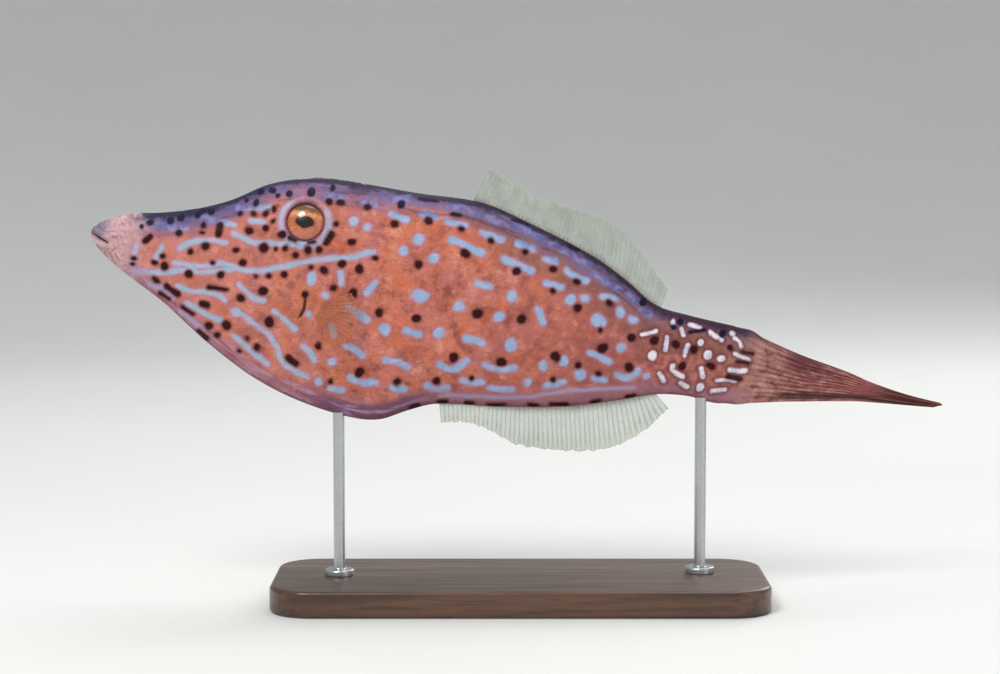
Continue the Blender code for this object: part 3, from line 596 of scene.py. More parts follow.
class Shader:
    """Short calls for one material's nodes, most of which return an output that others can read."""

    def __init__(self, name):
        self.material = bpy.data.materials.new(name)
        self.material.use_nodes = True
        self.tree = self.material.node_tree
        self.surface = self.tree.nodes["Principled BSDF"]
        self.places = self.add("ShaderNodeTexCoord").outputs["Object"]

    def add(self, kind, inputs=(), **settings):
        made = self.tree.nodes.new(kind)
        for key, value in settings.items():
            setattr(made, key, value)
        for key, value in dict(inputs).items():
            self.feed(made.inputs[key], value)
        return made

    def feed(self, socket, value):
        if isinstance(value, bpy.types.NodeSocket):
            self.tree.links.new(value, socket)
        else:
            socket.default_value = value

    def done(self, **values):
        """The material, after setting the surface's sockets, with _ for a space in a name."""
        for key, value in values.items():
            self.feed(self.surface.inputs[key.replace("_", " ")], value)
        return self.material

    def numbers(self, *names):
        return [self.add("ShaderNodeAttribute", attribute_name=name).outputs["Fac"] for name in names]

    def vector(self, name):
        return self.add("ShaderNodeAttribute", attribute_name=name).outputs["Vector"]

    def noise(self, scale, detail=3.0, roughness=0.55, vector=None, stretch=None):
        """Soft noise over the vector, or the object's own places, with its axes stretched if wanted."""
        vector = self.places if vector is None else vector
        if stretch:
            vector = self.add("ShaderNodeMapping", {"Vector": vector, "Scale": stretch}).outputs["Vector"]
        inputs = {"Vector": vector, "Scale": scale, "Detail": detail, "Roughness": roughness}
        return self.add("ShaderNodeTexNoise", inputs).outputs["Fac"]

    def cells(self, scale, vector=None):
        inputs = {"Vector": self.places if vector is None else vector, "Scale": scale}
        return self.add("ShaderNodeTexVoronoi", inputs).outputs["Distance"]

    def streaks(self, along, across, width):
        """Noise drawn out along the body into streaks of this width in millimetres."""
        inputs = {"X": self.product(along, 0.07), "Y": self.product(across, 1 / width)}
        return self.noise(0.7, vector=self.add("ShaderNodeCombineXYZ", inputs).outputs["Vector"])

    def math(self, operation, a, b=0.0):
        return self.add("ShaderNodeMath", {0: a, 1: b}, operation=operation).outputs[0]

    def ramp(self, value, start, end, low=0.0, high=1.0):
        """Goes smoothly from low to high as the value goes from start to end."""
        inputs = {"Value": value, "From Min": start, "From Max": end, "To Min": low, "To Max": high}
        return self.add("ShaderNodeMapRange", inputs, interpolation_type="SMOOTHSTEP").outputs["Result"]

    def chain(self, operation, values):
        """The values joined one after another. A tuple among them stands for a ramp."""
        total, *others = [self.ramp(*value) if isinstance(value, tuple) else value for value in values]
        for value in others:
            total = self.math(operation, total, value)
        return total

    def product(self, *values):
        return self.chain("MULTIPLY", values)

    def plus(self, *values):
        return self.chain("ADD", values)

    def sway(self, noise, width):
        """Noise as an offset to either side, about as wide as this in all."""
        return self.product(self.math("SUBTRACT", noise, 0.5), width)

    def paint(self, colour, *layers):
        """The colour under layers, each a colour and the factors of its share: numbers, outputs or ramps.

        A colour is an output or three screen values of 0 to 255.
        """
        def tint(given):
            return (*map(linear, given), 1.0) if isinstance(given, tuple) else given

        colour = tint(colour)
        for over, *shares in layers:
            inputs = {"Factor": self.product(*shares), 6: colour, 7: tint(over)}
            colour = self.add("ShaderNodeMix", inputs, data_type="RGBA").outputs[2]
        return colour

    def bump(self, height, distance, strength, under=None):
        inputs = {"Strength": strength, "Distance": distance, "Height": height}
        if under is not None:
            inputs["Normal"] = under
        return self.add("ShaderNodeBump", inputs).outputs["Normal"]


# Skin

def skin_alongs():
    """Places of the skin's rings, close together where the face is."""
    alongs = [*NOSE_RINGS, 0.0]
    while alongs[-1] < BODY_LENGTH:
        alongs.append(alongs[-1] + float(smooth(SKIN_STEP, alongs[-1])))
    return np.array(alongs[:-1] + [BODY_LENGTH])


def skin_angles():
    """Angles of the skin's columns, all the way round, close together where the face is."""
    angles, start = [], 0.0
    for end, columns in SKIN_COLUMNS:
        angles += list(np.linspace(start, end, columns, endpoint=False))
        start = end
    half = np.radians(angles)
    return np.concatenate([half, [math.pi], math.tau - half[:0:-1]])


def mouth_height(along, up):
    """How far above the line of the mouth each place is."""
    return up - (MOUTH_FRONT_UP + MOUTH_SLOPE * along)


def snout_relief(along, up):
    """Height of the lips and wrinkles in millimetres, the gape (0 to 1) and the creases (about -1 to 1)."""
    height = mouth_height(along, up)
    from_mouth = np.hypot(np.maximum(along - MOUTH_CORNER + 1, 0), height)
    swell = (1 - 0.5 * ramp(along, 4, 17)) * (0.3 + 0.7 * ramp(along, 0, 4))
    relief = LIP_RISE * swell * hump((from_mouth - LIP_MIDDLE) / LIP_HALF_HEIGHT)
    relief -= LIP_CREASE_DEPTH * bell(from_mouth - LIP_CREASE, 0.8)
    gape = bell(height, GAPE_HALF_HEIGHT) * ramp(along, MOUTH_CORNER + 0.5, MOUTH_CORNER - 3.5)
    relief -= GAPE_DEPTH * (0.35 + 0.65 * ramp(along, 0, 3)) * gape

    lips = ramp(from_mouth, LIP_CREASE, LIP_CREASE - 1.5) * (1 - gape)
    along_lips = (along + 0.5 * np.abs(height)) / LIP_FOLD_SPACING
    relief += LIP_FOLD_HEIGHT * lips * np.sin(math.tau * along_lips + 1.6 * ripples(4, 9.0, along, up))
    spoke = np.arctan2(height, along - 0.4 * MOUTH_CORNER)
    puckers = np.sin(PUCKERS * spoke + 2.2 * ripples(5, 12.0, along, up))
    ridges = np.sin(math.tau * from_mouth / RIDGE_SPACING + 2.5 * ripples(7, 15.0, along, up))
    crease = (0.6 * puckers + 0.4 * ridges) * (0.65 + 0.35 * ripples(6, 8.0, along, up))
    crease = crease * ramp(from_mouth, LIP_CREASE - 1, LIP_CREASE + 1)
    crease = crease * ramp(along, CREASES_END, CREASES_END - 22)
    return relief + CREASE_HEIGHT * crease, gape, crease


def flank_relief(along, up):
    """Height of the nostrils, gill slit, cheek, dewlap and low swellings, and the distance from the slit."""
    relief = 0.35 * ripples(8, 60.0, along, up) * ramp(along, 20, 60)
    relief += 0.05 * ripples(9, 7.0, along, up) * ramp(along, 30, 50)
    for x, y in NOSTRILS:
        r = np.hypot(along - x, up - y)
        rim = NOSTRIL_RIM_HEIGHT * hump((r - NOSTRIL_RIM_RADIUS) / 1.1)
        relief += rim - NOSTRIL_DEPTH * ramp(r, NOSTRIL_RADIUS + 0.35, NOSTRIL_RADIUS - 0.35)

    from_level = np.abs(up - GILL_MIDDLE_UP)
    slit = route_distance(along, up, GILL_SLIT) + 1.6 * ramp(from_level, 4.5, 10.5)
    behind = along - smooth([(y, x) for x, y in sorted(GILL_SLIT, key=lambda p: p[1])], up)
    relief += GILL_FOLD_HEIGHT * ramp(behind, -0.4, 0.8) * ramp(behind, 9, 1) * ramp(from_level, 13, 9)
    relief -= GILL_SLIT_DEPTH * bell(slit, 0.85)

    cheek = np.hypot(along - CHEEK_ALONG, (up - CHEEK_UP) / 1.4) / CHEEK_RADIUS
    start, end = DEWLAP_ALONGS
    dewlap = ramp(along, start, start + 30) * ramp(along, end, end - 30) * ramp(up, DEWLAP_UP, DEWLAP_UP - 26)
    folds = np.sin(math.tau * (along + 0.35 * up) / DEWLAP_FOLD_SPACING + 2.5 * ripples(10, 30.0, along, up))
    return relief + CHEEK_RISE * hump(cheek) + DEWLAP_FOLD_HEIGHT * folds * dewlap, slit


def groove_relief(along, side):
    """The folded spine's groove along the back, and the low ridges beside it."""
    end = SPINE_BASE + SPINE_LENGTH
    shown = ramp(along, SPINE_BASE - 2, SPINE_BASE) * ramp(along, end + 3, end - 1)
    ridges = GROOVE_RIDGE_HEIGHT * hump((np.abs(side) - GROOVE_RIDGE_SIDE) / 1.6)
    return shown * (ridges - GROOVE_DEPTH * hump(side / GROOVE_HALF_WIDTH))


def eye_relief(along, up, from_eye):
    """The eye's wrinkled rim, the faint fold outside it and the socket."""
    around = np.arctan2(up - EYE_UP, along - EYE_ALONG)
    rim = hump((from_eye - RIM_RADIUS) / RIM_HALF_WIDTH)
    wrinkles = RIM_WRINKLE_HEIGHT * np.sin(around * RIM_WRINKLES + 2 * ripples(6, 20.0, along, up))
    socket = ramp(from_eye, EYE_OPENING, EYE_OPENING - SOCKET_WALL)
    outer_fold = OUTER_FOLD_HEIGHT * hump((from_eye - OUTER_FOLD_RADIUS) / 1.5)
    return (RIM_HEIGHT + wrinkles) * rim + outer_fold - SOCKET_DEPTH * socket


def eye_frame(side):
    """The middle of the eye's opening on the flank, and the directions back, up and out there."""
    centre = flank_point(EYE_ALONG, EYE_UP, side)
    out = flank_outward(EYE_ALONG, EYE_UP, side)
    back = axes(EYE_ALONG)[0]
    back = unit(back - out * back.dot(out))
    up = np.cross(out, back) * -side
    return centre, back, up if up[2] > 0 else -up, out


def belly_squares():
    """Short routes close over the very edge of the belly, for its maroon squares."""
    reach = np.linspace(-BELLY_SQUARE_HALF_LENGTH, BELLY_SQUARE_HALF_LENGTH, 6)
    return [list(zip(at, smooth(BELLY, at) + BELLY_SQUARE_UP)) for at in np.add.outer(BELLY_SQUARES, reach)]


def pattern(along, up):
    """Signed distances to the pale, the tail stalk's and the dark marks, negative inside a mark."""
    x = along + MARK_WOBBLE * ripples(41, 17.0, along, up)
    y = up + MARK_WOBBLE * ripples(42, 17.0, along, up)
    swell = 1 + MARK_SWELL * ripples(43, 10.0, along, up)

    def nearest(groups, spots, seed):
        least = np.full(along.shape, 50.0)
        for routes, half_width in groups:
            for route in routes:
                least = np.minimum(least, route_distance(x, y, rounded(route)) - half_width * swell)
        draw = np.random.default_rng(seed)
        for spot_along, spot_up, radius in spots:
            stretch = draw.uniform(0.9, 1.11)
            from_spot = np.hypot((x - spot_along) * stretch, (y - spot_up) / stretch)
            least = np.minimum(least, from_spot - radius * swell)
        return least

    eye_ring = np.abs(np.hypot(along - EYE_ALONG, up - EYE_UP) - EYE_RING_RADIUS)
    faint_top = 1.3 * ramp(up - EYE_UP, 7, 13)
    squares = (belly_squares(), BELLY_SQUARE_HALF_WIDTH)
    pale = nearest(PALE_ROUTES, BLUE_SPOTS, 11)
    return {
        "pale_marks": np.minimum(pale, eye_ring - EYE_RING_HALF_WIDTH * swell + faint_top),
        "stalk_marks": nearest(STALK_ROUTES, STALK_SPOTS, 13),
        "dark_marks": nearest((*DARK_ROUTES, squares), HEAD_DOTS + FLANK_DOTS + STALK_DOTS, 17),
    }


def flank_numbers(along, side, up, top, bottom):
    """What the skin's colours are read from: the flank laid out flat, and distances to edges and marks."""
    return {
        "flank_place": np.stack([along, up, np.where(side < 0, 0.0, FAR_SIDE_SHIFT)], axis=-1),
        "along": along, "below_back": top - up, "above_belly": up - bottom, **pattern(along, up),
    }


def make_skin():
    """One continuous skin from the lips to the root of the tail fin."""
    alongs, angles = skin_alongs(), skin_angles()
    along, angle = np.meshgrid(alongs, angles, indexing="ij")
    side, up = section(along, angle)
    points = place(along, side, up)
    crosswise = np.roll(points, -1, axis=1) - np.roll(points, 1, axis=1)
    normals = unit(np.cross(crosswise, np.gradient(points, axis=0)))
    middle = place(along, 0.0, smooth(WIDEST_LEVEL, along))
    normals[(normals * (points - middle)).sum(-1) < 0] *= -1

    from_snout, gape, crease = snout_relief(along, up)
    from_flank, slit = flank_relief(along, up)
    from_eye = np.hypot(along - EYE_ALONG, up - EYE_UP)
    relief = (from_snout + from_flank) * np.where(along < 60, 1.0, ramp(np.abs(side), 1.5, 5.5))
    relief += groove_relief(along, side) * (np.cos(angle) > 0) + eye_relief(along, up, from_eye)
    for which in (-1, 1):
        centre, _, _, out = eye_frame(which)
        near = (from_eye < ORBIT_RADIUS) & (side * which > 0)
        share = ramp(from_eye[near], ORBIT_RADIUS, EYE_OPENING)
        relief[near] += np.maximum((centre - points[near]) @ out / MM, 0) * share
        normals[near] = unit(normals[near] + (out - normals[near]) * share[:, None])
    inset = SKIN_INSET + SKIN_END_DIVE * ramp(along, BODY_LENGTH - 8, BODY_LENGTH)
    points = points + normals * ((relief - inset) * MM)[..., None]

    rows, columns = along.shape
    count = rows * columns
    nose = place(-NOSE_DOME - 0.4, 0.0, float(smooth(WIDEST_LEVEL, 0.0)))
    faces = grid_faces(rows, columns, around=True)
    faces += [(count, (j + 1) % columns, j) for j in range(columns)]
    faces.append(tuple(range(count - columns, count)))
    attributes = {
        "from_eye": from_eye, "mouth_height": mouth_height(along, up), "gape": gape, "crease": crease,
        "gill_slit": slit, **flank_numbers(along, side, up, smooth(BACK, along), smooth(BELLY, along)),
    }
    for key, values in attributes.items():
        values = values.reshape(count, -1)
        attributes[key] = np.vstack([values, values[:1]])
    mesh = mesh_of("skin", np.vstack([points.reshape(count, 3), nose]), faces, attributes)
    add_bake_map(mesh, alongs, angles)
    add_piece("skin", outward(mesh), skin_material(), "skin", "head", "torso", "tail_stalk")


def add_bake_map(mesh, alongs, angles):
    """A map of the skin laid out flat: along the body one way and round it the other."""
    u = (alongs + NOSE_DOME) / (BODY_LENGTH + NOSE_DOME) * 0.98 + 0.01
    v = np.append(angles, math.tau) / math.tau
    strips = list(zip(v, v[1:]))
    spots = [spot for a, b in zip(u, u[1:]) for c, d in strips for spot in ((a, c), (a, d), (b, d), (b, c))]
    spots += [spot for c, d in strips for spot in ((0.0, c), (u[0], d), (u[0], c))]
    spots += [(0.995 + 0.004 * math.cos(a), 0.5 + 0.004 * math.sin(a)) for a in angles]
    layer = mesh.uv_layers.new(name="OFBake")
    layer.data.foreach_set("uv", np.array(spots, np.float32).ravel())


def skin_ground(s):
    """The skin's colour before its marks: salmon flanks, a violet to black back and a mauve belly edge."""
    along, below_back, above_belly = s.numbers("along", "below_back", "above_belly")
    flank = s.vector("flank_place")
    broad = s.noise(0.03, 2.0, vector=flank)
    blotch = s.noise(0.085, 4.0, 0.6, vector=flank)
    mottle = s.noise(0.2, 4.0, 0.62, vector=flank, stretch=(1.0, 1.2, 1.0))
    cloud = s.noise(0.06, vector=flank, stretch=(1.0, 1.4, 1.0))
    grain = s.noise(0.8, 4.0, 0.65, vector=flank)
    speckle = s.cells(0.55, vector=flank)
    hue = s.noise(0.045, vector=flank)
    wander = s.sway(s.noise(0.22, 3.0, 0.6, vector=flank), 6.0)
    depth, keel = s.plus(below_back, wander), s.plus(above_belly, wander)
    back_streak, belly_streak = s.streaks(along, below_back, 3.0), s.streaks(along, above_belly, 2.4)
    back_band = s.product((below_back, 17.0, 9.0), (below_back, 1.2, 3.0), (along, 24, 44), (along, 350, 330))
    belly_band = s.product((above_belly, 13.0, 7.0), (along, 26, 40), (along, 226, 200))
    snout_top = s.product((along, 118, 86), (s.plus(along, s.product(wander, 3.0)), 18, 34))

    flanks = s.paint(
        (182, 104, 90),
        ((204, 121, 102), (broad, 0.38, 0.62)),
        ((136, 72, 64), 0.8, (blotch, 0.5, 0.64)),
        ((228, 156, 138), 0.65, (blotch, 0.46, 0.34)),
        ((196, 108, 74), 0.5, (cloud, 0.5, 0.64)),
        ((132, 64, 54), 0.42, (mottle, 0.52, 0.66)),
        ((232, 158, 136), 0.45, (mottle, 0.45, 0.33)),
        ((204, 136, 126), 0.4, (along, 180, 40)),
        ((154, 86, 82), (along, 215, 325), (blotch, 0.36, 0.6, 0.4, 0.85)),
        ((122, 88, 80), 0.6, (along, 205, 255), (below_back, 38, 16)),
        ((200, 122, 112), 0.7, (along, 322, 346), (mottle, 0.56, 0.42), (above_belly, 34, 20)),
        ((178, 126, 114), 0.8, (along, 380, 400), (blotch, 0.6, 0.42)),
        ((126, 60, 52), 0.2, (grain, 0.44, 0.66)),
        ((226, 168, 156), 0.2, (speckle, 0.32, 0.1)),
        ((206, 108, 74), 0.4, (hue, 0.5, 0.62), (along, 330, 240)),
        ((204, 122, 122), 0.4, (hue, 0.48, 0.36), (along, 330, 240)),
    )
    with_back = s.paint(
        flanks,
        ((140, 108, 130), 0.4, (depth, 15.0, 6.0)),
        ((112, 98, 140), 0.5, (depth, 19.0, 8.0), (along, 96, 122), (along, 205, 170)),
        ((112, 92, 110), 0.65, (depth, 19.0, 8.0), (along, 195, 225), (along, 350, 325)),
        ((84, 74, 116), 0.7, (depth, 9.0, 4.0)),
        ((30, 28, 44), 0.88, (depth, 4.4, 1.8)),
        ((112, 106, 152), 0.7, back_band, (back_streak, 0.52, 0.62)),
        ((70, 46, 74), 0.6, back_band, (back_streak, 0.47, 0.37)),
        ((82, 82, 130), 0.75, snout_top, (depth, 20.0, 7.0)),
        ((22, 24, 46), 0.85, snout_top, (depth, 5.4, 2.6)),
        ((60, 40, 58), 0.75, (along, 322, 348), (depth, 8.0, 3.0)),
    )
    return s.paint(
        with_back,
        ((154, 112, 132), 0.65, (keel, 15.0, 4.0)),
        ((114, 78, 104), 0.85, (keel, 16.0, 5.0), (along, 138, 160), (along, 226, 206)),
        ((182, 150, 188), 0.7, belly_band, (belly_streak, 0.52, 0.62)),
        ((118, 70, 106), 0.55, belly_band, (belly_streak, 0.47, 0.37)),
        ((112, 60, 76), 0.5, (keel, 3.2, 0.8)),
    )


def snout_colour(s, colour):
    """The pale, puckered end of the snout, greyer on the upper lip than on the lower, with painted shade in
    its creases, painted highlights on their ridges and a painted highlight on the lower lip.
    """
    along, below_back, above_mouth, crease = s.numbers("along", "below_back", "mouth_height", "crease")
    flank = s.vector("flank_place")
    tip = s.plus(along, s.sway(s.noise(0.16, 3.0, 0.6, vector=flank), 30.0))
    under_top = s.math("MAXIMUM", s.ramp(below_back, 2.5, 6.0), s.ramp(tip, 34, 17))
    near_tip = s.product((tip, 44, 16), under_top)
    mottle = s.noise(0.5, 4.0, 0.65, vector=flank)
    patch = s.noise(0.22, 3.0, 0.6, vector=flank)
    return s.paint(
        colour,
        ((204, 168, 174), 0.9, near_tip),
        ((226, 190, 194), 0.5, near_tip, (patch, 0.46, 0.36)),
        ((176, 122, 120), 0.5, near_tip, (patch, 0.54, 0.64)),
        ((160, 102, 110), 0.45, near_tip, (mottle, 0.46, 0.66)),
        # painted shade in the troughs of the snout's creases, and painted highlights on their ridges
        ((142, 88, 98), 0.5, near_tip, (crease, -0.1, -0.7)),
        ((228, 196, 200), 0.35, near_tip, (crease, 0.2, 0.8)),
        ((104, 102, 126), 0.85, (along, 14, 4), (above_mouth, 0.0, 1.2)),
        ((164, 136, 146), 0.6, (along, 12, 4), (above_mouth, 0.0, -1.5)),
        # a painted highlight along the lower lip
        ((232, 200, 196), 0.5, (above_mouth, -1.4, -2.2), (above_mouth, -4.4, -3.2), (along, 12, 7)),
    )


def paint_marks(s, colour):
    """Adds the pale blue scrawls, the whitish marks of the stalk and the near-black dots."""
    along, below_back, above_belly = s.numbers("along", "below_back", "above_belly")
    pale, stroke, dark = s.numbers("pale_marks", "stalk_marks", "dark_marks")
    flank = s.vector("flank_place")
    edge = s.sway(s.noise(0.5, 5.0, 0.7, vector=flank), 2.2)
    pale = s.plus(pale, edge)
    stroke = s.plus(stroke, s.product(edge, 0.8))
    dark = s.plus(dark, s.product(edge, 0.6))
    tone = s.noise(0.17, 3.0, 0.6, vector=flank)
    grain = s.noise(0.8, 4.0, 0.65, vector=flank)
    on_head = s.paint((150, 182, 202), ((182, 176, 206), (tone, 0.4, 0.6)))
    on_back = s.paint((88, 94, 156), ((136, 136, 186), (tone, 0.42, 0.6)))
    whitish = s.paint((240, 232, 240), ((204, 200, 222), (tone, 0.4, 0.62)))
    near_black = s.paint((46, 2, 8), ((16, 12, 46), (below_back, 15.0, 9.0)))
    blue = s.paint(
        (140, 172, 210),
        ((172, 180, 216), (tone, 0.4, 0.62)),
        (on_head, (along, 178, 150)),
        ((172, 156, 196), 0.55, (pale, -0.9, 0.4)),
        ((138, 186, 218), 0.5, (pale, -1.0, -2.2)),
        ((118, 134, 180), 0.3, (grain, 0.5, 0.7)),
        ((186, 164, 196), 0.6, (along, 44, 24)),
        (on_back, (below_back, 17.0, 8.0)),
        ((172, 146, 178), 0.75, (above_belly, 13.0, 9.0)),
    )
    return s.paint(
        colour,
        ((176, 124, 138), 0.4, (pale, 2.6, 0.2), (below_back, 10.0, 18.0)),
        (blue, (pale, 1.15, -1.05), (below_back, 8.0, 13.0, 0.7, 0.94)),
        ((98, 42, 48), 0.6, (stroke, 3.4, 0.4)),
        (whitish, 0.96, (stroke, 0.75, -0.7)),
        ((104, 44, 44), (dark, 2.0, 0.2), (below_back, 8.0, 15.0, 0.1, 0.55)),
        (near_black, 0.99, (dark, 0.75, -0.6)),
    )


def skin_bump(s):
    """Fine velvety prickles over soft folds."""
    normal = s.bump(s.noise(110.0, 3.0, 0.5), 0.0009, 0.7)
    normal = s.bump(s.noise(420.0, 4.0, 0.6), 0.0004, 0.8, normal)
    return s.bump(s.cells(1000.0), 0.0003, 0.85, normal)


def skin_material():
    """Salmon skin with a violet back, pale blue scrawls and near-black dots, over fine prickles, with painted
    shade in the gap round each eye, in the mouth's gape and in the gill slit.
    """
    s = Shader("filefish_skin")
    slit, from_eye, gape = s.numbers("gill_slit", "from_eye", "gape")
    by_slit = s.paint(snout_colour(s, skin_ground(s)), ((190, 112, 76), 0.4, (slit, 9.0, 3.0)))
    colour = s.paint(
        paint_marks(s, by_slit),
        ((82, 72, 108), 0.7, (from_eye, 12.4, 11.5)),
        # painted shade in the gap where the skin meets the eyeball
        ((30, 20, 30), 0.95, (from_eye, 11.3, 10.7)),
        # painted shade in the mouth's gape
        ((66, 30, 40), 0.85, gape),
        # painted shade in the gill slit
        ((56, 18, 18), 0.85, (slit, 1.3, 0.4)),
    )
    rough = s.ramp(s.noise(1.4, vector=s.vector("flank_place")), 0.3, 0.7, 0.46, 0.62)
    return s.done(Base_Color=colour, Roughness=rough, Normal=skin_bump(s), Specular_IOR_Level=0.15)


# Eyes

def make_eye(name, node, side):
    """A glossy eyeball with a painted iris and pupil."""
    centre, back, up, out = eye_frame(side)
    centre = centre - out * (EYE_HALF_DEPTH - EYE_PROUD) * MM
    polar = np.linspace(EYE_POLE, math.pi - EYE_POLE, EYE_RINGS)
    turn = np.linspace(0, math.tau, EYE_SPOKES, endpoint=False)
    polar, turn = np.meshgrid(polar, turn, indexing="ij")
    radius = (EYE_RADIUS - EYE_INSET) * np.sin(polar)
    x, y, z = radius * np.cos(turn), radius * np.sin(turn), (EYE_HALF_DEPTH - EYE_INSET) * np.cos(polar)
    points = centre + (x[..., None] * back + y[..., None] * up + z[..., None] * out) * MM
    half_height = np.where(y > 0, *PUPIL_HALF_HEIGHTS)
    half_width = PUPIL_HALF_WIDTH * (1 + 0.5 * np.clip(y / 4.0, -1, 0) ** 3)
    attributes = {
        "pupil": (np.hypot(x / half_width, y / half_height) - 1) * PUPIL_MEAN_RADIUS,
        "eye_place": np.stack([x, y, z], axis=-1),
        "eye_spoke": np.stack([np.cos(turn) * 5, np.sin(turn) * 5, radius * 0.22], axis=-1),
        "eye_radius": radius, "eye_height": y, "eye_back": x,
    }
    mesh = outward(mesh_of(name, points, tube_faces(EYE_RINGS, EYE_SPOKES), attributes))
    add_piece(name, mesh, eye_material(), "eye", node)


@cache
def eye_material():
    """A clear gloss over an orange iris of fine fibres, with a painted highlight band over the pupil and
    painted shade making it darker above, round a wide pupil.
    """
    s = Shader("filefish_eye")
    radius, height, back, pupil = s.numbers("eye_radius", "eye_height", "eye_back", "pupil")
    fibres = s.noise(2.2, 4.0, 0.6, vector=s.vector("eye_spoke"))
    cloud = s.noise(0.35, vector=s.vector("eye_place"))
    uneven = s.plus(height, s.sway(cloud, 6.0))
    pupil = s.plus(pupil, s.sway(fibres, 0.8))
    colour = s.paint(
        (174, 94, 54),
        ((202, 124, 78), (fibres, 0.36, 0.66)),
        ((186, 88, 48), 0.6, (cloud, 0.5, 0.7)),
        # a painted highlight: a bright band across the iris above the pupil
        ((236, 164, 104), 0.6, (height, 1.5, 4.0), (height, 8.5, 5.5)),
        ((190, 98, 84), 0.7, (height, -2.5, -9.0)),
        # painted shade of the lid over the top of the iris
        ((92, 72, 44), 0.92, (uneven, 4.6, 7.6)),
        ((176, 76, 30), 0.8, (back, 4.8, 7.0), (back, 9.4, 7.6), (fibres, 0.44, 0.6)),
        ((116, 72, 76), 0.6, (radius, 9.5, 10.7)),
        ((54, 34, 50), 0.85, (radius, 10.5, 11.2)),
        ((122, 56, 26), 0.55, (pupil, 1.5, 0.0)),
        ((24, 4, 6), (pupil, 0.35, -0.2)),
    )
    return s.done(
        Base_Color=colour, Roughness=s.ramp(fibres, 0.3, 0.7, 0.2, 0.32), Normal=s.bump(fibres, 0.00012, 0.4),
        Specular_IOR_Level=0.5, Coat_Weight=1.0, Coat_Roughness=0.04, Coat_IOR=1.38,
    )


# Fins

def ray_columns(rays):
    """The places of a fin's columns, from 0 to 1, and its ridges: 1 on a ray and 0 between rays."""
    count = (rays - 1) * COLUMNS_PER_RAY + 1
    phase = np.arange(count) % COLUMNS_PER_RAY / COLUMNS_PER_RAY
    return np.linspace(0, 1, count), np.cos(np.minimum(phase, 1 - phase) * math.pi) ** 8


def sheet_mesh(name, roots, edges, rays, across, bow, ridge, sink):
    """A thin closed sheet with a ridge along each ray. roots and edges are one point for each column.

    across is each column's thickness direction, and bow how far the column's edge bends that way.
    """
    columns, wide = len(roots), FIN_STEPS + 1
    t = np.broadcast_to(np.linspace(0, 1, wide), (columns, wide))
    roots = roots - unit(edges - roots) * sink * MM
    across = np.broadcast_to(across, roots.shape)[:, None, :]
    middle = roots[:, None, :] + (edges - roots)[:, None, :] * t[..., None]
    middle = middle + across * (bow[:, None] * t * t)[..., None] * MM
    half = (RAY_HALF_THICKNESS - MEMBRANE_HALF_THICKNESS) * ridge[:, None] * (1 - 0.55 * t)
    half = (MEMBRANE_HALF_THICKNESS + half) * (1 - 0.6 * ramp(t, 0.85, 1))
    points = [middle + across * (face * half * MM)[..., None] for face in (1, -1)]

    count = columns * wide
    near = grid_faces(columns, wide, around=False)
    ids = np.arange(count).reshape(columns, wide)
    rim = np.concatenate([ids[:, 0], ids[-1, 1:], ids[-2::-1, -1], ids[0, -2:0:-1]]).tolist()
    faces = near + [tuple(count + v for v in reversed(face)) for face in near]
    faces += [(a, b, count + b, count + a) for a, b in zip(rim, rim[1:] + rim[:1])]
    column = np.broadcast_to(np.linspace(0, rays, columns)[:, None], t.shape)
    spots = np.stack([column, t, 0 * t], axis=-1)
    return outward(mesh_of(name, points, faces, {"fin_share": [t, t], "fin_place": [spots, spots]}))


def make_median_fin(name, node, outline, rays, base, edge, sign, seed, shortening):
    """The dorsal (sign 1) or anal (sign -1) fin, with a slow wave along it.

    shortening(share) is how far its edge stays inside the outline, from its front (0) to its back (1).
    """
    share, ridge = ray_columns(rays)
    alongs = base[0] + (base[1] - base[0]) * share
    roots = place(alongs, 0.0, smooth(outline, alongs))
    tip_along, tip_up = (smooth([(spot[0], spot[k]) for spot in edge], share) for k in (1, 2))
    ragged = FIN_RAGGEDNESS * (1 + ripples(seed, 0.05, share))
    inset = FIN_EDGE_INSET + FIN_SCALLOP_DEPTH * (1 - ridge) + ragged + shortening(share)
    edges = place(tip_along, 0.0, tip_up - sign * inset)
    bow = sign * FIN_WAVE * np.sin(math.tau * FIN_WAVES * share)
    mesh = sheet_mesh(name, roots, edges, rays, axes(alongs)[1], bow, ridge, FIN_ROOT_DEPTH)
    add_piece(name, mesh, fin_material(), "fin_membrane", node)


def anal_notch(share):
    """How far the anal fin's edge draws in behind its front corner."""
    return ANAL_NOTCH * hump((share - ANAL_NOTCH_PLACE) / ANAL_NOTCH_HALF_WIDTH)


def make_pectoral_fin(name, node, side):
    """A small rounded fan held back along the flank."""
    root = flank_point(PECTORAL_ALONG, PECTORAL_UP, side)
    out = flank_outward(PECTORAL_ALONG, PECTORAL_UP, side)
    back, _, up = axes(PECTORAL_ALONG)
    away = unit(back * math.cos(PECTORAL_SPREAD) + out * math.sin(PECTORAL_SPREAD))
    up = unit(up - away * up.dot(away))
    share, ridge = ray_columns(PECTORAL_RAYS)
    angle = (PECTORAL_FAN * (1 - 2 * share) + PECTORAL_DROOP)[:, None]
    arch = np.sin(math.pi * (PECTORAL_ARCH[0] * (1 - share) + PECTORAL_ARCH[1] * share))
    reach = PECTORAL_LENGTH * (PECTORAL_SHORTEST + (1 - PECTORAL_SHORTEST) * arch)
    reach = reach - PECTORAL_EDGE_INSET - PECTORAL_SCALLOP_DEPTH * (1 - ridge)
    starts = up * (PECTORAL_ROOT_HEIGHT * (0.5 - share))[:, None] - away * PECTORAL_ROOT_DEPTH
    roots = root + starts * MM
    edges = roots + (away * np.cos(angle) + up * np.sin(angle)) * reach[:, None] * MM
    across = unit(np.cross(away, up)) * -side
    bow = -PECTORAL_CUP * np.abs(1 - 2 * share)
    mesh = sheet_mesh(name, roots, edges, PECTORAL_RAYS, across, bow, ridge, PECTORAL_SINK)
    add_piece(name, mesh, pectoral_material(), "fin_membrane", node)


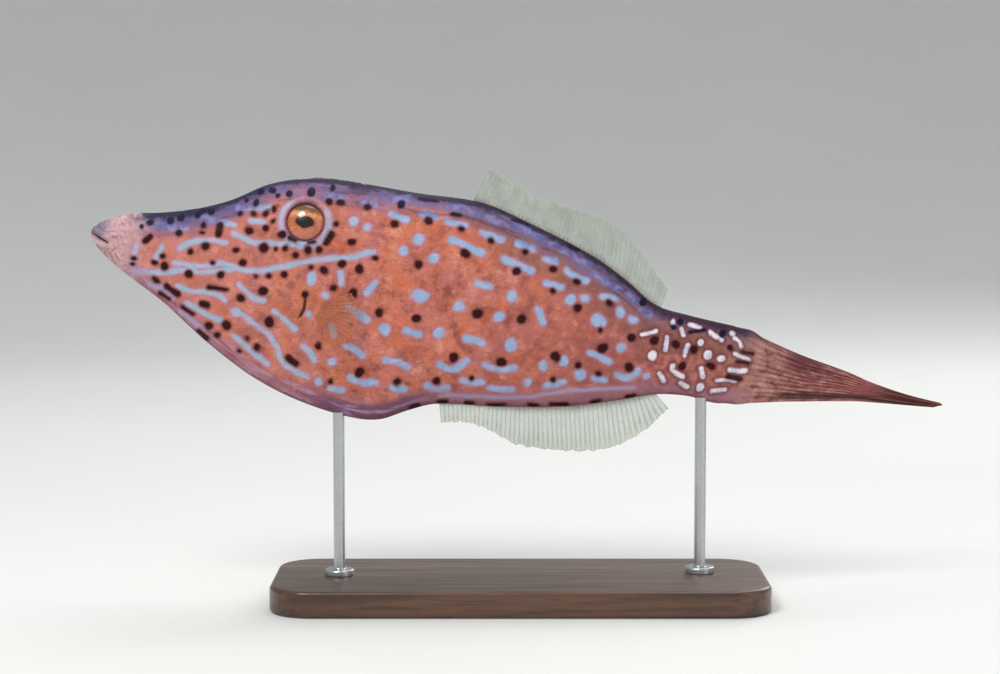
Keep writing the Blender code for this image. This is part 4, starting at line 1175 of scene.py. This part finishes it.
def ray_lines(s, place, share, split_from, spread):
    """1 on the fin's rays and 0 between: fine lines that part into two branches towards the edge."""
    across = s.add("ShaderNodeSeparateXYZ", {"Vector": place}).outputs["X"]
    from_ray = s.math("PINGPONG", across, 0.5)
    parted = s.ramp(share, split_from, 1.0, 0.0, spread)
    return s.ramp(s.math("ABSOLUTE", s.math("SUBTRACT", from_ray, parted)), 0.14, 0.04)


@cache
def fin_material():
    """Pale, see-through membrane between fine, branching and jointed rays."""
    s = Shader("fin_membrane_fine")
    [share], place = s.numbers("fin_share"), s.vector("fin_place")
    rays = ray_lines(s, place, share, 0.5, 0.2)
    cloud = s.noise(1.0, 3.0, 0.6, vector=place, stretch=(0.35, 2.0, 1.0))
    joints = s.ramp(s.noise(1.0, 2.0, 0.5, vector=place, stretch=(2.0, 42.0, 1.0)), 0.45, 0.6)
    colour = s.paint(
        (150, 164, 152),
        ((184, 194, 182), (cloud, 0.35, 0.65)),
        ((206, 202, 182), 0.6, rays),
        ((134, 132, 112), 0.35, rays, joints),
        ((146, 100, 100), 0.8, (share, 0.16, 0.0)),
        ((216, 220, 210), 0.4, (share, 0.93, 1.0)),
    )
    solid = s.plus((rays, 0.0, 1.0, 0.3, 0.66), (share, 0.25, 0.0, 0.0, 0.35), (cloud, 0.5, 0.7, 0.0, 0.08))
    normal = s.bump(s.plus(rays, s.product(joints, 0.3)), 0.00025, 0.6)
    return s.done(
        Base_Color=colour, Roughness=s.ramp(cloud, 0.3, 0.7, 0.32, 0.48), Normal=normal,
        Alpha=s.math("MINIMUM", solid, 1.0), Specular_IOR_Level=0.4,
    )


@cache
def pectoral_material():
    """A clear, orange-brown membrane, so thin that the flank shows through it."""
    s = Shader("pectoral_membrane")
    [share], place = s.numbers("fin_share"), s.vector("fin_place")
    rays = ray_lines(s, place, share, 0.45, 0.2)
    cloud = s.noise(1.6, 3.0, 0.6, vector=place)
    colour = s.paint(
        (178, 100, 64), ((200, 122, 84), (cloud, 0.35, 0.65)), ((202, 130, 94), 0.5, rays),
    )
    solid = s.plus((rays, 0.0, 1.0, 0.22, 0.42), (share, 0.3, 0.0, 0.0, 0.6), (share, 0.94, 0.99, 0.0, 0.1))
    return s.done(
        Base_Color=colour, Roughness=s.ramp(cloud, 0.3, 0.7, 0.34, 0.48), Normal=s.bump(rays, 0.0002, 0.5),
        Alpha=s.math("MINIMUM", solid, 1.0), Specular_IOR_Level=0.35,
    )


def make_tail_fin():
    """The folded tail fin: rays bundled together, running into a narrow ragged tip."""
    outs = np.linspace(-TAIL_FIN_SUNK, TAIL_FIN_LENGTH, TAIL_FIN_STEPS + 1)
    k = np.arange(2 * TAIL_FIN_LEVELS)
    share = np.minimum(k, 2 * TAIL_FIN_LEVELS - k) / TAIL_FIN_LEVELS
    out, share = np.meshgrid(outs, share, indexing="ij")
    face = np.broadcast_to(np.where(k <= TAIL_FIN_LEVELS, 1.0, -1.0), out.shape)

    along = BODY_LENGTH + out
    away = ramp(out, 1, 14)
    top = (smooth(BACK, along) - ROOT_INSET) * (1 - away) + smooth(TAIL_FIN_TOP, out) * away
    bottom = (smooth(BELLY, along) + ROOT_INSET) * (1 - away) + smooth(TAIL_FIN_BOTTOM, out) * away
    sway = 0.10 * ripples(21, 70.0, out, face * 40.0) * ramp(out, 0, 40)
    lane = (share + sway * share * (1 - share)) * TAIL_FIN_RAYS
    ray = np.abs(np.sin(math.pi * lane)) ** 0.7
    split = np.abs(np.sin(math.tau * lane + 0.8)) ** 0.7
    relief = 1 - TAIL_GROOVE_DEPTH * (1 - ray) - TAIL_BRANCH_DEPTH * ramp(out, 55, 115) * (1 - split)
    shown = ramp(out, -6, 8)
    relief = relief * shown + 0.96 * (1 - shown)
    edge = np.sqrt(np.clip(np.sin(math.pi * share), 0, 1))
    fold = 1 + 0.10 * ripples(23, 26.0, out * 0.35, share * 40, face * 9)
    up = top + (bottom - top) * share
    root = np.maximum(flank_reach(along, up) - ROOT_INSET, 0.02)
    fin = smooth(TAIL_FIN_HALF_THICKNESS, out) * edge * relief * fold * 0.93
    side = face * (fin * away + root * (1 - away))
    tuft = np.floor(np.clip(lane, 0, TAIL_FIN_RAYS - 0.01))
    uneven = 0.5 + 0.5 * np.sin(tuft * 12.9898 + face * 3.0)
    ragged = TAIL_TIP_RAGGEDNESS * uneven * ramp(out, 60, TAIL_FIN_LENGTH) ** 2
    points = place(BODY_LENGTH + np.minimum(out - ragged, TAIL_FIN_LENGTH - 0.2), side, up)
    attributes = {
        "tail_out": out, "tail_share": share, "tail_groove": 1 - relief,
        "tail_place": np.stack([lane, out * 0.03, face * 3], axis=-1),
        **flank_numbers(along, side, up, top, bottom),
    }
    mesh = outward(mesh_of("folded_tail", points, tube_faces(*out.shape), attributes))
    add_piece("folded_tail", mesh, tail_material(), "tail_fin", "tail_fin", "tail_fin_end")


def tail_material():
    """Tan to pinkish red with dark streaks and painted shade in the grooves between the rays, red-brown at
    the tip and the lower edge.
    """
    s = Shader("folded_tail")
    out, share, groove = s.numbers("tail_out", "tail_share", "tail_groove")
    place = s.vector("tail_place")
    streak = s.noise(1.3, 4.0, 0.6, vector=place)
    long_streak = s.noise(0.55, 3.0, 0.5, vector=place, stretch=(1.0, 0.35, 1.0))
    mottle = s.noise(1.0, 4.0, 0.62, vector=place, stretch=(0.7, 4.5, 1.0))
    joints = s.noise(1.0, 2.0, 0.5, vector=place, stretch=(2.0, 34.0, 1.0))
    stripe = s.math("ABSOLUTE", s.math("SUBTRACT", share, s.ramp(out, 20, 90, 0.88, 0.82)))
    fin = s.paint(
        (176, 122, 114),
        ((164, 102, 98), (out, 6, 50)),
        ((112, 58, 44), (out, 84, 128)),
        ((166, 88, 56), (out, 140, 155)),
        ((204, 150, 140), 0.75, (mottle, 0.49, 0.38), (out, 110, 60)),
        ((112, 52, 52), 0.75, (mottle, 0.53, 0.64), (out, 130, 80)),
        ((196, 140, 132), 0.5, (long_streak, 0.48, 0.34)),
        ((190, 104, 104), 0.7, (out, 66, 78), (out, 104, 92), (long_streak, 0.4, 0.54)),
        ((92, 40, 48), 0.75, (out, 28, 36), (out, 60, 50), (share, 0.42, 0.2)),
        ((92, 42, 44), (streak, 0.48, 0.64), (out, 4, 46, 0.15, 0.8)),
        # painted shade in the grooves between the rays
        ((72, 30, 34), 0.7, (groove, 0.08, 0.34), (out, 4, 40)),
        ((62, 24, 22), 0.85, (stripe, 0.11, 0.04), (out, 22, 36)),
        ((80, 52, 72), 0.7, (share, 0.12, 0.02), (out, 70, 5)),
    )
    colour = s.paint(skin_ground(s), (fin, (s.plus(out, s.sway(streak, 26.0)), 0, 13)))
    colour = s.paint(
        paint_marks(s, colour),
        (colour, (out, 9, 13)),
        ((80, 38, 36), 0.35, (joints, 0.5, 0.66), (out, 20, 45)),
    )
    normal = s.bump(joints, 0.00025, 0.5, s.bump(streak, 0.0006, 0.5))
    rough = s.ramp(streak, 0.3, 0.7, 0.44, 0.6)
    return s.done(Base_Color=colour, Roughness=rough, Normal=normal, Specular_IOR_Level=0.26)


def make_spine():
    """The first dorsal spine, folded into its groove, with small knobs along it."""
    share = np.linspace(0, 1, SPINE_RINGS)
    turn = np.linspace(0, math.tau, SPINE_SIDES, endpoint=False)
    along = SPINE_BASE + SPINE_LENGTH * share
    lift = smooth(BACK, along) + SPINE_LIFT - SPINE_ROOT_SINK * ramp(share, 0.315, -0.035)
    knobs = SPINE_KNOB_HEIGHT * np.abs(np.sin(share * math.pi * SPINE_KNOBS)) ** 3
    taper = SPINE_RADIUS - SPINE_INSET + (SPINE_TIP_RADIUS - SPINE_RADIUS) * share
    radius = ((taper + knobs) * ramp(share, -0.012, 0.028))[:, None]
    points = place(along[:, None], radius * np.cos(turn), lift[:, None] + radius * np.sin(turn))
    mesh = outward(mesh_of("folded_spine", points, tube_faces(SPINE_RINGS, SPINE_SIDES)))
    add_piece("folded_spine", mesh, spine_material(), "spine", "dorsal_spine")


def spine_material():
    """Dark violet, a little mottled, with a satin surface."""
    s = Shader("folded_spine")
    colour = s.paint((50, 42, 66), ((98, 84, 116), (s.noise(260.0), 0.4, 0.62)))
    rough = s.ramp(s.noise(500.0), 0.3, 0.7, 0.4, 0.55)
    return s.done(Base_Color=colour, Roughness=rough, Normal=s.bump(s.noise(900.0), 0.0001, 0.5))


# Stand

def make_base():
    """The stand's plate, with round corners and softened edges."""
    low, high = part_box("stand_base")
    size = high - low
    bm = bmesh.new()
    bmesh.ops.create_cube(bm, size=1.0)
    bmesh.ops.scale(bm, vec=size, verts=bm.verts)
    bmesh.ops.translate(bm, vec=(low + high) / 2, verts=bm.verts)
    upright = [edge for edge in bm.edges if abs(edge.verts[0].co.z - edge.verts[1].co.z) > size.z / 2]
    bmesh.ops.bevel(bm, geom=upright, offset=BASE_CORNER * MM, segments=24, profile=0.5, affect="EDGES")
    rims = [edge for edge in bm.edges if edge.calc_face_angle(0) > math.radians(60)]
    bmesh.ops.bevel(bm, geom=rims, offset=BASE_BEVEL * MM, segments=6, profile=0.5, affect="EDGES")
    mesh = bpy.data.meshes.new("wood_base")
    bm.to_mesh(mesh)
    bm.free()
    mesh.shade_smooth()
    mesh.set_sharp_from_angle(angle=math.radians(35))
    add_piece("wood_base", mesh, wood_material(), "stand_base", "stand_base")


def wood_material():
    """Dark close-grained hardwood under a satin finish, its grain along the plate."""
    s = Shader("dark_hardwood")
    bands = s.noise(1.0, 4.0, stretch=(4.0, 60.0, 60.0))
    pores = s.noise(1.0, 2.0, 0.6, stretch=(70.0, 1500.0, 1500.0))
    figure = s.noise(1.0, 3.0, 0.6, stretch=(14.0, 300.0, 300.0))
    colour = s.paint(
        (56, 36, 26),
        ((96, 64, 44), (bands, 0.34, 0.66)),
        ((42, 26, 19), 0.55, (figure, 0.44, 0.66)),
        ((28, 17, 13), 0.6, (pores, 0.56, 0.7)),
    )
    return s.done(
        Base_Color=colour, Roughness=s.ramp(figure, 0.3, 0.7, 0.3, 0.42), Normal=s.bump(pores, 0.00012, 0.35),
        Specular_IOR_Level=0.5, Coat_Weight=0.25, Coat_Roughness=0.18,
    )


def make_rod(name, node):
    """A turned steel rod with a rounded collar, standing on the plate and ending in the belly."""
    along = ROD_ALONGS[node]
    touch = place(along, 0.0, float(smooth(BELLY, along)))
    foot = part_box(node)[0].z
    arc = np.linspace(0, math.pi / 2, 9)
    round_r, round_z = COLLAR_ROUNDING * (np.cos(arc) - 1), COLLAR_ROUNDING * (np.sin(arc) - 1)
    fillet_r, fillet_z = COLLAR_FILLET * (1 - np.sin(arc)), COLLAR_FILLET * (1 - np.cos(arc))
    radii = [COLLAR_RADIUS, *(COLLAR_RADIUS + round_r), *(ROD_RADIUS + fillet_r), ROD_RADIUS]
    top = (touch[2] - foot) / MM + ROD_INTO_BODY
    heights = [0.0, *(COLLAR_HEIGHT + round_z), *(COLLAR_HEIGHT + fillet_z), top]
    points = np.array([touch[0], touch[1], foot]) + turned(radii, heights, ROD_SIDES) * MM
    mesh = outward(mesh_of(name, points, tube_faces(len(radii), ROD_SIDES)))
    mesh.set_sharp_from_angle(angle=math.radians(40))
    add_piece(name, mesh, steel_material(), "stand_rod", node)


@cache
def steel_material():
    """Brushed steel with faint smudges."""
    s = Shader("brushed_steel")
    lines = s.noise(1.0, 3.0, 0.6, stretch=(900.0, 900.0, 6000.0))
    smudge = s.noise(60.0, 3.0, 0.6)
    colour = s.paint((178, 180, 182), ((204, 206, 208), (lines, 0.35, 0.65)))
    rough = s.plus((lines, 0.3, 0.7, 0.24, 0.34), (smudge, 0.4, 0.7, 0.0, 0.08))
    return s.done(Base_Color=colour, Roughness=rough, Metallic=1.0, Normal=s.bump(lines, 0.00003, 0.3))


# Stage, light and camera

def make_stage():
    """A pale floor that rises into a round backdrop on all sides."""
    arc = np.linspace(0, math.pi / 2, 17)
    curve_r, curve_z = BACKDROP_BEND * np.sin(arc), BACKDROP_BEND * (1 - np.cos(arc))
    radii = [0.02, 1.0, *(FLOOR_RADIUS + curve_r), FLOOR_RADIUS + BACKDROP_BEND]
    points = turned(radii, [0.0, 0.0, *curve_z, BACKDROP_TOP], BACKDROP_SIDES)
    faces = grid_faces(len(radii), BACKDROP_SIDES, around=True)
    faces.append(tuple(reversed(range(BACKDROP_SIDES))))
    floor = link("floor", mesh_of("floor", points, faces))
    s = Shader("pale_floor")
    colour = s.paint((222, 223, 220), ((229, 229, 227), s.noise(3.0, 2.0)))
    floor.data.materials.append(s.done(Base_Color=colour, Roughness=0.75, Specular_IOR_Level=0.25))


def aimed(name, data, position, target):
    """A light or camera at a position, looking at its target."""
    obj = link(name, data)
    obj.location = position
    obj.rotation_euler = (Vector(target) - Vector(position)).to_track_quat("-Z", "Y").to_euler()
    return obj


def make_lights():
    """Soft round area lights and a pale sky."""
    for name, position, size, power, colour in LIGHTS:
        light = bpy.data.lights.new(name, "AREA")
        light.shape = "DISK"
        light.size = size
        light.energy = power
        light.color = colour
        aimed(name, light, position, LIGHT_TARGET)
    world = bpy.data.worlds.new("studio")
    world.use_nodes = True
    background = world.node_tree.nodes["Background"]
    background.inputs["Color"].default_value = SKY_COLOUR
    background.inputs["Strength"].default_value = SKY_STRENGTH
    bpy.context.scene.world = world
    bpy.context.scene.view_settings.view_transform = "Standard"


def make_camera():
    """The photo's camera: from the fish's left and a little above."""
    data = bpy.data.cameras.new("camera")
    data.lens = LENS
    data.sensor_width = SENSOR
    distance = VIEW_WIDTH / 2 / (SENSOR / 2 / LENS)
    away = Vector((0, -math.cos(ELEVATION), math.sin(ELEVATION)))
    bpy.context.scene.camera = aimed("camera", data, VIEW_CENTRE + away * distance, VIEW_CENTRE)


make_skin()
make_eye("left_eye", "eye_left", -1)
make_eye("right_eye", "eye_right", 1)
make_median_fin("dorsal_membrane", "dorsal_fin", BACK, *DORSAL_FIN, 1, 31, np.zeros_like)
make_median_fin("anal_membrane", "anal_fin", BELLY, *ANAL_FIN, -1, 37, anal_notch)
make_pectoral_fin("left_pectoral", "pectoral_fin_left", -1)
make_pectoral_fin("right_pectoral", "pectoral_fin_right", 1)
make_tail_fin()
make_spine()
make_base()
make_rod("front_rod", "stand_rod_front")
make_rod("rear_rod", "stand_rod_rear")
make_stage()
make_lights()
make_camera()
